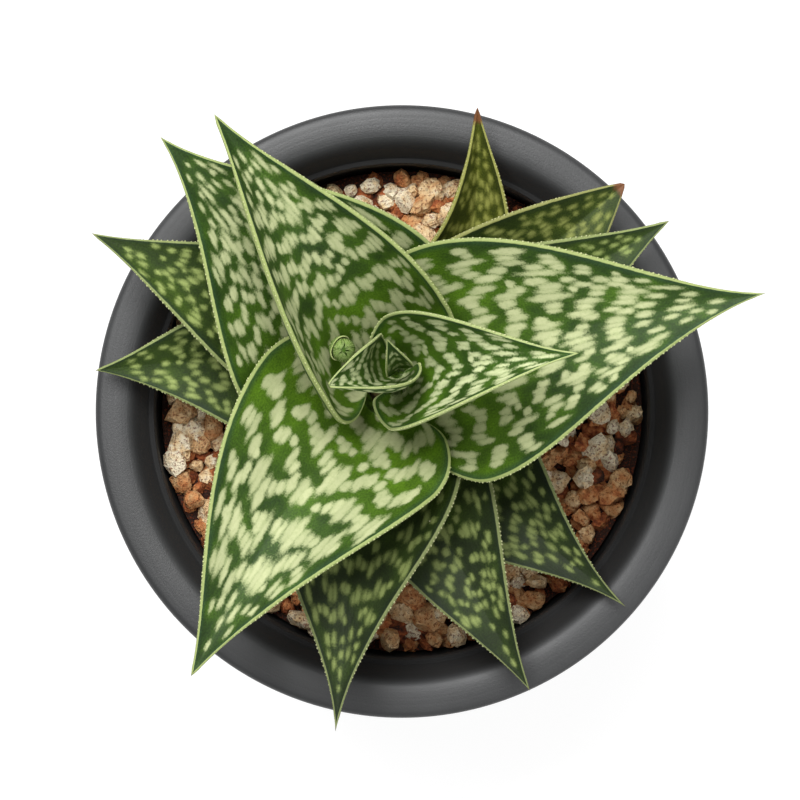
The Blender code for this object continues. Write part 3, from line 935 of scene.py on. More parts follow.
    def field(self, along: np.ndarray, vein: np.ndarray, squeeze: np.ndarray, width: np.ndarray,
              side: int) -> tuple[np.ndarray, np.ndarray]:
        """Distance inside the nearest dash, in millimetres and negative outside, and its strength.

        A dash is an oval with full sides: 1 less the root of the sum of its shares of the half length,
        to the power FULLNESS, and of the half width, squared. Dashes that touch flow into each other:
        where two distances are alike, some is added to the greater. Dashes in the plain strip along
        the margins are left out, and some veins end where the leaf gets narrow.

        Args:
            along: Distance along the leaf of each station.
            vein: Vein coordinate of every point, a row a station.
            squeeze: True width of one millimetre of vein coordinate at each station.
            width: Half width of the leaf at each station.
            side: 0 for the upper face, 1 for the lower.

        Returns:
            The distance and the strength at every point.
        """
        result, strong = np.full(vein.shape, self.OUTSIDE), np.ones(vein.shape)
        shift, turn = self.wander(along, vein, side)
        here, line = along[:, None] + shift, vein + turn
        blend = self.BLEND * self.radius
        dashes = self.dashes(along, np.abs(vein).max(), side)
        for place, middle, reach, radius, strength, number in dashes:
            local, thinned = np.interp(place, along, width), np.interp(place, along, squeeze)
            plain = self.strip * min(1.0, 0.3 + local / 16.0)
            if local - abs(middle) * thinned < plain + 0.4 * radius or local < self.strip:
                continue
            if thinned < self.HALF_OF_VEINS and number % 2:
                continue
            if thinned < self.QUARTER_OF_VEINS and number % 4:
                continue
            radius *= 0.45 + 0.55 * thinned
            near = (place - reach - self.ROOM, place + reach + self.ROOM)
            rows = slice(*np.searchsorted(along, near))
            lengthwise = np.abs((here[rows] - place) / reach) ** self.FULLNESS
            crosswise = (line[rows] - middle) * squeeze[rows, None] / radius
            inside = radius * (1.0 - (lengthwise + crosswise ** 2) ** 0.5)
            strong[rows] = np.where(inside > result[rows], strength, strong[rows])
            alike = np.clip(1.0 - np.abs(inside - result[rows]) / blend, 0.0, 1.0)
            result[rows] = np.maximum(result[rows], inside) + 0.25 * blend * alike ** 2
        return result, strong


@dataclass(frozen=True)
class Leaf:
    """One leaf. Angles are in degrees, lengths in millimetres, shares of its length or width.

    The shape follows the CAD leaf's formula, with finer steps, round margins and true teeth.

    Attributes:
        name: The CAD node that it replaces.
        heading: Its direction as seen from above.
        reach: Distance of its tip from its axis.
        tip_height: Height of its tip.
        foot_height: Height of its foot.
        foot_radius: Distance of its foot from its axis.
        foot_rise: Rise of the midrib at the foot.
        tip_rise: Rise of the midrib at the tip.
        half_width: Greatest half width, along the curved face.
        foot_share: Share of that width at the foot.
        shoulder: Share of the length from the tip to the widest place.
        taper: Power that shapes the width from the tip to the widest place.
        foot_fold: Angle that each half curls up to at the foot.
        fold: The same angle at the end of the foot zone.
        tip_fold: The same angle at the tip.
        crease: Angle of each half beside the midrib.
        thickness: Thickness of the blade along its keel.
        markings: Its pale dashes.
        bow: Sideways bow of the midrib.
        tilt: Roll of the blade about the midrib.
        twist: Further roll from the foot to the tip.
        shift_x: How far its axis stands from the stem's in x.
        shift_y: How far its axis stands from the stem's in y.
        foot_thickness: Thickness at the foot.
        edge_thickness: Thickness of the margin.
        border: Scale of the pale border's width.
        step: Distance from station to station along the leaf.
        across_step: Distance from point to point across it.
        tooth: Length of a tooth.
        tooth_step: Distance from tooth to tooth.
    """

    name: str
    heading: float
    reach: float
    tip_height: float
    foot_height: float
    foot_radius: float
    foot_rise: float
    tip_rise: float
    half_width: float
    foot_share: float
    shoulder: float
    taper: float
    foot_fold: float
    fold: float
    tip_fold: float
    crease: float
    thickness: float
    markings: Markings
    bow: float = 0.0
    tilt: float = 8.0
    twist: float = 0.0
    shift_x: float = 0.0
    shift_y: float = 0.0
    foot_thickness: float = 1.2
    edge_thickness: float = 0.9
    border: float = 0.9
    step: float = 0.5
    across_step: float = 0.45
    tooth: float = 0.24
    tooth_step: float = 0.8

    # Shares of the length, the chord and the width that shape the blade and lead its veins.
    FOOT_ZONE = 0.22
    FOOT_HANDLE = 0.35
    TIP_HANDLE = 0.4
    VEIN_BLEND = 0.4
    END = 0.992
    LOBE = 0.055
    LOBE_DEPTH = 0.26
    # Where along a margin its teeth stand, and the size of a tooth's base.
    TEETH_START = 0.12
    TEETH_END = 0.975
    TOOTH_BASE = 0.30
    # Steps that keep the skins of two leaves, and of a leaf's two faces, apart on the finish.
    LEAF_APART = 90.0
    FACES_APART = 200.0

    def midrib(self, u: np.ndarray) -> tuple[np.ndarray, ...]:
        """Work out the leaf's middle line and its frame.

        The line is a cubic Bezier curve in the upright plane of the leaf's heading. The bow moves it
        sideways by a half wave. The frame is rolled about the line by the tilt and the twist.

        Args:
            u: Share of the curve at each station, 0 at the foot and 1 at the tip.

        Returns:
            Points, and the directions along, across and up, one row a station.
        """
        foot = np.array([self.foot_radius, self.foot_height])
        tip = np.array([self.reach, self.tip_height])
        chord = np.linalg.norm(tip - foot)
        rises = np.radians([self.foot_rise, self.tip_rise])
        handle_1 = foot + self.FOOT_HANDLE * chord * np.array([math.cos(rises[0]), math.sin(rises[0])])
        handle_2 = tip - self.TIP_HANDLE * chord * np.array([math.cos(rises[1]), math.sin(rises[1])])
        t = u[:, None]
        line = (1 - t) ** 3 * foot + 3 * (1 - t) ** 2 * t * handle_1
        line = line + 3 * (1 - t) * t * t * handle_2 + t ** 3 * tip
        slope = 3 * (1 - t) ** 2 * (handle_1 - foot) + 6 * (1 - t) * t * (handle_2 - handle_1)
        slope = slope + 3 * t * t * (tip - handle_2)
        side = self.bow * np.sin(np.pi * u)
        side_slope = self.bow * np.pi * np.cos(np.pi * u)
        middle = np.stack([line[:, 0], side, line[:, 1]], axis=1)
        along = np.stack([slope[:, 0], side_slope, slope[:, 1]], axis=1)
        along /= np.linalg.norm(along, axis=1)[:, None]
        across = np.cross(np.array([0.0, 0.0, 1.0]), along)
        across /= np.linalg.norm(across, axis=1)[:, None]
        up = np.cross(along, across)
        roll = np.radians(self.tilt + self.twist * u)[:, None]
        rolled_across = across * np.cos(roll) + up * np.sin(roll)
        rolled_up = up * np.cos(roll) - across * np.sin(roll)
        return middle, along, rolled_across, rolled_up

    def widths(self, u: np.ndarray) -> np.ndarray:
        """Half width along the curved face: a sine from the tip to the shoulder, then a square.

        The lobes at the foot are rounded: over the first LOBE of the length a quarter circle takes
        off up to LOBE_DEPTH of the width.

        Args:
            u: Share of the curve at each station.

        Returns:
            The half width at each station.
        """
        from_tip = 1.0 - u
        grown = np.sin(np.pi / 2 * np.clip(from_tip / self.shoulder, 0.0, 1.0) ** self.taper)
        past = np.clip((from_tip - self.shoulder) / (1.0 - self.shoulder), 0.0, 1.0)
        shrunk = 1.0 - (1.0 - self.foot_share) * past ** 2
        lobe = 1.0 - np.clip(u / self.LOBE, 0.0, 1.0)
        rounding = 1.0 - self.LOBE_DEPTH * (1.0 - (1.0 - lobe ** 2) ** 0.5)
        return self.half_width * rounding * np.where(from_tip < self.shoulder, grown, shrunk)

    def section(self, u: np.ndarray, v: np.ndarray) -> tuple[np.ndarray, ...]:
        """Work out the upper face across the blade.

        Each half leaves the midrib at the crease angle and curls up evenly to the fold angle.

        Args:
            u: Share of the curve at each station.
            v: Shares across of every point, -1 and 1 at the margins, a row a station.

        Returns:
            The sideways offset, the upward offset and the slope of every point.
        """
        width = self.widths(u)[:, None]
        in_foot = smooth_step(u / self.FOOT_ZONE)
        beyond = np.clip((u - self.FOOT_ZONE) / (1.0 - self.FOOT_ZONE), 0.0, 1.0)
        fold = self.foot_fold + (self.fold - self.foot_fold) * in_foot
        fold = np.radians(fold + (self.tip_fold - self.fold) * beyond)[:, None]
        crease = np.radians(self.crease * in_foot)[:, None]
        curl = np.maximum(fold - crease, 0.001)
        slope = crease + curl * np.abs(v)
        sideways = width * (np.sin(slope) - np.sin(crease)) / curl * np.sign(v)
        upward = width * (np.cos(crease) - np.cos(slope)) / curl
        return sideways, upward, slope * np.sign(v)

    def edges(self, u: np.ndarray) -> np.ndarray:
        """Thickness of the margin, which thins out with the blade at the tip."""
        edge = self.edge_thickness * np.clip((1.0 - u) / 0.2, 0.7, 1.0)
        return np.minimum(edge, 0.12 + 1.3 * self.widths(u))

    def depths(self, u: np.ndarray, v: np.ndarray) -> np.ndarray:
        """Thickness of the blade: fullest along the keel, thin at the margins and the tip.

        Args:
            u: Share of the curve at each station.
            v: Shares across of every point.

        Returns:
            The thickness at every point.
        """
        grown = np.sin(np.pi / 2 * np.clip(u / 0.3, 0.0, 1.0))
        keel = self.foot_thickness + (self.thickness - self.foot_thickness) * grown
        keel = (keel * np.clip((1.0 - u) / 0.75, 0.0, 1.0) ** 0.7)[:, None]
        edge = self.edges(u)[:, None]
        return edge + np.maximum(keel - edge, 0.0) * (1.0 - np.abs(v) ** 1.7)

    def stations(self) -> tuple[np.ndarray, np.ndarray]:
        """Stations at even steps of true length.

        Returns:
            Their shares of the curve, and their distances along the leaf.
        """
        fine = np.linspace(0.0, self.END, 600)
        middle = self.midrib(fine)[0]
        length = np.concatenate([[0.0], np.cumsum(np.linalg.norm(np.diff(middle, axis=0), axis=1))])
        along = np.linspace(0.0, length[-1], int(length[-1] / self.step) + 2)
        return np.interp(along, length, fine), along

    def shell(self, u: np.ndarray, v: np.ndarray, depth: np.ndarray) -> np.ndarray:
        """Place points on or in the blade.

        Args:
            u: Share of the curve at each station.
            v: Shares across of every point, a row a station.
            depth: Shares through the blade, 0 on the upper face and 1 on the lower.

        Returns:
            The points.
        """
        sideways, upward, slope = self.section(u, v)
        drop = self.depths(u, v) * depth
        sideways = sideways + np.sin(slope) * drop
        upward = upward - np.cos(slope) * drop
        middle, _, across, up = self.midrib(u)
        flat = middle[:, None] + sideways[..., None] * across[:, None]
        return flat + upward[..., None] * up[:, None]

    def blade(self) -> Surface:
        """The blade as one closed skin, with the values that its finish reads.

        A ring of points goes over the upper face, round one margin as a half circle, back over the
        lower face and round the other margin. Vein coordinates are millimetres across at the widest
        place. Where the leaf narrows, the veins draw together and the outer ones run out at the margin.
        On the lower face the keel has a pale line too, over the last quarter of the length.

        Returns:
            The blade.
        """
        u, along = self.stations()
        width = self.widths(u)
        round_share = np.clip(0.5 * self.edges(u) / np.maximum(width, 0.01), 0.0, 0.45)[:, None]
        over = np.linspace(1.0, -1.0, int(2 * self.half_width / self.across_step) + 7)
        under = np.linspace(-1.0, 1.0, int(1.5 * self.half_width / self.across_step) + 7)
        turn = np.radians([45.0, 90.0, 135.0])
        flat = 1.0 - round_share
        v = np.concatenate([flat * over, -flat - round_share * np.sin(turn),
                            flat * under, flat + round_share * np.sin(turn)], axis=1)
        fall = (1.0 - np.cos(turn)) / 2
        depth = np.concatenate([0 * over, fall, 0 * under + 1.0, fall[::-1]])[None, :]
        rings = self.shell(u, v, depth)
        tip = self.midrib(np.array([1.0]))[0]
        points = np.concatenate([rings.reshape(-1, 3), rings[:1].mean(axis=1), tip])
        quads, tris = ring_skin(*v.shape)

        squeeze = np.clip(width / self.half_width, 0.02, 1.0) ** (1.0 - self.VEIN_BLEND)
        vein = v * (width / squeeze)[:, None]
        border = self.border * (0.15 + 0.37 * np.clip(width / 10.0, 0.0, 1.0)[:, None])
        rim = (1.0 - np.abs(v)) * width[:, None] / border
        below = depth[0] > 0.5
        keel = np.abs(v) * width[:, None] / (0.5 * border)
        keel = keel + 8.0 * np.clip(0.75 - u, 0.0, 1.0)[:, None]
        rim = np.where(below[None, :], np.minimum(rim, keel), rim)
        faces = [self.markings.field(along, vein, squeeze, width, side) for side in (0, 1)]
        marking, strength = (np.where(below, lower, upper) for upper, lower in zip(*faces))
        skin = np.stack([along[:, None] + 0 * v, v * width[:, None] + self.FACES_APART * below], axis=-1)
        skin[..., 0] += self.LEAF_APART * self.markings.seed
        values = {"marking": marking, "strength": strength, "rim": rim,
                  "tipward": np.broadcast_to(u[:, None], v.shape)}
        for name, grid in values.items():
            ends = (grid[0].mean(keepdims=True), grid[-1].mean(keepdims=True))
            values[name] = np.concatenate([grid.ravel(), *ends])
        skin = np.concatenate([skin.reshape(-1, 2), skin[0, :1], skin[-1, :1]])
        return Surface(points, quads, tris, values, skin).outward()

    def teeth(self, side: float) -> Surface:
        """Small soft teeth along one margin: four-sided points sunk into its round edge.

        They stand at uneven steps, point outwards in the blade's own slope, and lean to the tip.

        Args:
            side: 1 for the margin on the across side, -1 for the other.

        Returns:
            The teeth as one surface.
        """
        draw = np.random.default_rng(self.markings.seed * 10 + (5 if side > 0 else 6))
        fine, length = self.stations()
        count = int(0.86 * length[-1] / self.tooth_step)
        place = np.linspace(self.TEETH_START, self.TEETH_END, count) * length[-1]
        place = place + draw.uniform(-0.3, 0.3, count) * self.tooth_step
        u = np.interp(place, length, fine)
        v = np.full((count, 1), side)
        root = self.shell(u, v, np.array([[0.5]]))[:, 0]
        _, along, across, up = self.midrib(u)
        slope = np.abs(self.section(u, v)[2])
        outward = side * np.cos(slope) * across + np.sin(slope) * up
        upright = np.cross(along, outward)
        size = draw.uniform(0.65, 1.2, (count, 1)) * np.clip((1.0 - u[:, None]) / 0.2, 0.4, 1.0)
        base = self.TOOTH_BASE * size
        corners = [root - 0.15 * outward + a * base * along + b * 0.5 * base * upright
                   for a, b in ((1, 1), (-1, 1), (-1, -1), (1, -1))]
        point = root + self.tooth * size * outward + 0.35 * self.tooth * size * along
        points = np.stack([*corners, point], axis=1).reshape(-1, 3)
        start = (np.arange(count) * 5)[:, None]
        sides = np.array([[0, 1, 4], [1, 2, 4], [2, 3, 4], [3, 0, 4]])
        tris = (start[:, None] + sides).reshape(-1, 3)
        quads = start + np.array([3, 2, 1, 0])
        rim = np.tile([-0.1, -0.1, -0.1, -0.1, -0.8], count)
        values = {"marking": np.full(5 * count, Markings.OUTSIDE), "strength": np.ones(5 * count),
                  "rim": rim, "tipward": np.repeat(u, 5)}
        skin = np.repeat(np.stack([place, v[:, 0]], axis=1), 5, axis=0)
        return Surface(points, quads, tris, values, skin).outward()

    def surface(self) -> Surface:
        """The whole leaf with its teeth, before it is turned to its heading."""
        return Surface.join([self.blade(), self.teeth(1.0), self.teeth(-1.0)])

    def build(self, material: bpy.types.Material) -> bpy.types.Object:
        """Make the leaf a piece, in place round its own axis.

        Args:
            material: Its material.

        Returns:
            The piece.
        """
        surface = self.surface().moved(self.heading, STEM_AXIS + (self.shift_x, self.shift_y, 0.0))
        return surface.piece(f"tiger_{self.name}", material, Slot.LEAF, self.name)


@dataclass
class Rosette:
    """The fifteen leaves, and the finishes of their ages and places."""

    oldest: LeafFinish = LeafFinish(
        "oldest_leaf", shade(48, 54, 14), shade(50, 58, 12), shade(96, 102, 24), shade(150, 152, 78),
        shade(150, 150, 82), shade(104, 66, 38), 0.45, 0.80, 0.945)
    old: LeafFinish = LeafFinish(
        "old_leaf", shade(40, 54, 26), shade(42, 56, 18), shade(80, 94, 28), shade(146, 152, 84),
        shade(142, 142, 86), shade(110, 72, 46), 0.45, 0.80, 0.962)
    shaded: LeafFinish = LeafFinish(
        "shaded_leaf", shade(24, 36, 19), shade(27, 39, 11), shade(50, 68, 15), shade(132, 144, 84),
        shade(120, 128, 82), shade(92, 64, 40), 0.36, 0.85)
    middle: LeafFinish = LeafFinish(
        "lower_leaf", shade(32, 49, 28), shade(38, 55, 14), shade(68, 90, 20), shade(152, 166, 98),
        shade(140, 150, 96), shade(100, 72, 44), 0.38, 0.87)
    inner: LeafFinish = LeafFinish(
        "inner_leaf", shade(42, 66, 40), shade(36, 58, 18), shade(74, 106, 18), shade(180, 185, 140),
        shade(156, 166, 106), shade(86, 84, 40), 0.26, 0.97)
    heart: LeafFinish = LeafFinish(
        "heart_leaf", shade(38, 66, 38), shade(38, 64, 18), shade(78, 112, 22), shade(202, 208, 162),
        shade(170, 180, 122), shade(140, 146, 86), 0.2, 0.97)

    def leaves(self) -> list[tuple[Leaf, LeafFinish]]:
        """Size every leaf.

        The numbers are heading, reach, tip height, foot height, foot radius, foot rise, tip rise, half
        width, foot share, shoulder, taper, foot fold, fold, tip fold, crease and thickness.

        Returns:
            Every leaf with its finish, from the oldest to the youngest.
        """
        faint = {"sparse": 0.2, "radius": 0.72, "loose": 0.5, "strip": 1.4, "band_step": 4.8,
                 "column_step": 1.6}
        return [
            (Leaf("leaf_01", 71.5, 56.5, 109, 90.0, 5.6, 13, 25, 12.5, 0.35, 0.74, 1.15, 50, 55, 50, 30, 2.2,
                  Markings(1, **faint), bow=-6.6, tilt=0, twist=15), self.oldest),
            (Leaf("leaf_02", -42.5, 63.5, 104, 91.5, 5.6, 22, 0, 16.0, 0.35, 0.74, 1.50, 50, 25, 25, 8, 2.2,
                  Markings(2, **faint), bow=-1.5, tilt=5), self.shaded),
            (Leaf("leaf_03", 177.0, 56.0, 106, 93.5, 5.2, 28, 5, 16.0, 0.35, 0.74, 1.20, 50, 25, 25, 8, 2.2,
                  Markings(3, **faint), bow=-3.3, twist=-28), self.middle),
            (Leaf("leaf_04", 40.0, 60.0, 114, 95.5, 5.3, 33, 8, 17.0, 0.35, 0.74, 0.90, 50, 30, 35, 15, 2.2,
                  Markings(4, **faint)), self.old),
            (Leaf("leaf_05", -64.5, 65.0, 110, 97.5, 5.2, 32, 0, 14.0, 0.35, 0.74, 1.25, 50, 25, 25, 8, 2.4,
                  Markings(5, **faint), bow=-1.8), self.shaded),
            (Leaf("leaf_06", 152.5, 62.5, 120, 99.5, 5.1, 38, 10, 15.0, 0.35, 0.74, 1.20, 50, 25, 25, 8, 2.4,
                  Markings(6, **faint), bow=-1.0), self.middle),
            (Leaf("leaf_07", 30.0, 62.5, 119, 101.0, 5.0, 40, 5, 16.5, 0.35, 0.74, 1.20, 55, 30, 35, 10, 2.4,
                  Markings(7, **faint)), self.middle),
            (Leaf("leaf_08", -98.0, 66.0, 122, 103.3, 5.0, 40, 5, 19.5, 0.35, 0.74, 1.50, 60, 33, 35, 10, 2.6,
                  Markings(8, sparse=0.12, radius=0.76, column_step=1.65, band_step=5.4, loose=0.45,
                           strip=1.5), bow=-1.5, tilt=5), self.shaded),
            (Leaf("leaf_09", 132.0, 62.0, 134, 105.5, 5.0, 50, 10, 25.5, 0.30, 0.74, 1.35, 60, 40, 30, 8, 3.0,
                  Markings(9, sparse=-0.2, radius=0.74, column_step=1.5, band_step=6.4),
                  bow=-1.4, tilt=2), self.inner),
            (Leaf("leaf_10", 13.5, 72.5, 138, 108.0, 5.0, 55, 5, 24.5, 0.40, 0.74, 1.40, 70, 35, 30, 5, 3.0,
                  Markings(10, sparse=-0.14, chevron=-0.25, band_step=7.4), bow=2.0, tilt=3), self.inner),
            (Leaf("leaf_11", -123.5, 64.5, 137, 111.0, 5.4, 55, 5, 22.5, 0.65, 0.84, 1.20, 75, 35, 45, 8, 3.0,
                  Markings(11, sparse=-0.24, radius=0.88, column_step=1.7, band_step=8.0, chevron=0.35),
                  bow=-2.4, tilt=2), self.inner),
            (Leaf("leaf_12", 122.0, 58.0, 148, 114, 5.0, 52, 15, 21.5, 0.45, 0.84, 1.25, 95, 80, 50, 10, 3.0,
                  Markings(12, sparse=-0.18, radius=0.76, column_step=1.5, band_step=6.6, chevron=-0.1),
                  bow=-0.5, tilt=15), self.inner),
            (Leaf("leaf_13", 7.3, 34.9, 150, 117.4, 4.4, 75, 0, 14.2, 0.75, 0.70, 1.40, 135, 68, 60, 12, 1.8,
                  Markings(13, sparse=-0.12, band_step=8.0, radius=0.62, column_step=1.24, loose=0.62,
                           strip=1.0, zigzag=1.6, chevron=0.5),
                  bow=0.4, tilt=-7, shift_x=0.8, shift_y=1.3, edge_thickness=0.65, border=0.75,
                  step=0.4, across_step=0.35), self.heart),
            (Leaf("leaf_14", 189.0, 13.6, 147, 121, 2.2, 70, 40, 9.4, 0.52, 0.60, 0.85, 120, 100, 70, 20, 1.4,
                  Markings(14, band_step=4.6, radius=0.58, column_step=1.2, strip=1.0, zigzag=0.5),
                  bow=0.6, tilt=34, shift_x=3.4, shift_y=2.0, foot_thickness=0.9, edge_thickness=0.6,
                  border=0.65, step=0.3, across_step=0.3), self.heart),
            (Leaf("leaf_15", 113.0, 6.5, 146, 128.5, 1.0, 75, 60, 2.9, 0.45, 0.85, 1.00, 60, 45, 40, 20, 1.0,
                  Markings(15, band_step=4.0, radius=0.4, column_step=1.0, strip=0.8, zigzag=0.3), tilt=0,
                  shift_x=3.2, shift_y=2.2, foot_thickness=0.7, edge_thickness=0.55, border=0.6, step=0.25,
                  across_step=0.22, tooth=0.2), self.heart),
        ]

    def build(self, skin: bpy.types.NodeTree, grain: bpy.types.NodeTree) -> None:
        """Make every leaf, with one material for each finish.

        Args:
            skin: The group of the leaves' markings.
            grain: The group of the surface's grain.
        """
        materials = {}
        for leaf, finish in self.leaves():
            if finish.name not in materials:
                materials[finish.name] = finish.material(skin, grain)
            leaf.build(materials[finish.name])


@dataclass
class Pot:
    """The pot: a tapered body under a wide rolled rim with a skirt, and drain holes in its floor.

    Attributes:
        rim_radius: Outer radius of the rim.
        rim_top: Height of the rim's top.
        underside: How far the rim's underside lies below its top.
        ledge: How far the small ledge inside the rim lies below its top.
        skirt: How far the skirt hangs below the rim's top.
        shoulder_radius: Outer radius of the body where its taper ends.
        shoulder_height: Height at which the taper ends.
        foot_radius: Outer radius at the foot.
        wall: Thickness of the wall.
        floor: Thickness of the floor.
        steps: Points around the pot.
        drain_holes: How many drain holes there are.
        drain_radius: Radius of a drain hole.
        drain_ring: Distance of the drain holes from the middle.
        drain_steps: Points around a drain hole.
    """

    rim_radius: float = 60.0
    rim_top: float = 100.0
    underside: float = 3.6
    ledge: float = 5.8
    skirt: float = 12.0
    shoulder_radius: float = 50.2
    shoulder_height: float = 85.0
    foot_radius: float = 40.0
    wall: float = 1.4
    floor: float = 3.0
    steps: int = 240
    drain_holes: int = 6
    drain_radius: float = 2.4
    drain_ring: float = 22.0
    drain_steps: int = 32

    def profile(self) -> np.ndarray:
        """The pot's outline from the inner floor over the rim to the underside, corners rounded.

        Returns:
            Points of radius and height.
        """
        rim, top, shoulder = self.rim_radius, self.rim_top, self.shoulder_radius
        return rounded([
            (0.0, self.floor, 0.0),
            (self.foot_radius - self.wall + 0.4, self.floor, 1.5),
            (shoulder - self.wall, self.shoulder_height, 0.5),
            (shoulder - 1.4, top - self.ledge, 0.25),
            (shoulder - 0.4, top - self.ledge, 0.25),
            (shoulder + 0.3, top - 4.2, 1.0),
            (shoulder + 2.0, top - 0.75, 2.6),
            (rim - 4.8, top, 3.2),
            (rim - 0.15, top - 0.25, 1.5),
            (rim, top - 3.4, 0.8),
            (rim - 0.6, top - self.skirt, 0.5),
            (rim - 2.8, top - self.skirt, 0.5),
            (rim - 2.2, top - self.underside, 0.8),
            (shoulder + 2.6, top - self.underside, 1.0),
            (shoulder + 1.0, self.shoulder_height + 4.0, 1.5),
            (shoulder, self.shoulder_height, 1.5),
            (self.foot_radius + 0.2, 1.6, 0.8),
            (self.foot_radius - 1.2, 0.0, 0.8),
            (0.0, 0.0, 0.0),
        ])

    def drill(self) -> Surface:
        """A round rod through the floor at every drain hole.

        Returns:
            The rods as one surface.
        """
        low, high = -2.0, self.floor + 2.0
        outline = np.array([[0.0, low], [self.drain_radius, low], [self.drain_radius, high], [0.0, high]])
        angle = 2 * math.pi * np.arange(self.drain_holes) / self.drain_holes
        rods = []
        for x, y in zip(self.drain_ring * np.cos(angle), self.drain_ring * np.sin(angle)):
            rod = lathe(outline, self.drain_steps)
            rod.points += (x, y, 0.0)
            rods.append(rod)
        return Surface.join(rods)

    def build(self, material: bpy.types.Material) -> bpy.types.Object:
        """Turn the profile, cut the drain holes and make the pot a piece.

        Args:
            material: Its material.

        Returns:
            The piece.
        """
        pot = lathe(self.profile(), self.steps).piece("rimmed_pot", material, Slot.POT, "pot")
        drill = self.drill()
        mesh = bpy.data.meshes.new("drill")
        mesh.from_pydata((drill.points * MM).tolist(), [], drill.quads.tolist() + drill.tris.tolist())
        cutter = bpy.data.objects.new("drill", mesh)
        bpy.context.scene.collection.objects.link(cutter)
        cut = pot.modifiers.new("drain_holes", "BOOLEAN")
        cut.operation = "DIFFERENCE"
        cut.object = cutter
        drilled = bpy.data.meshes.new_from_object(pot.evaluated_get(bpy.context.evaluated_depsgraph_get()))
        pot.modifiers.clear()
        pot.data = drilled
        drilled.set_sharp_from_angle(angle=math.radians(50))
        bpy.data.objects.remove(cutter)
        return pot


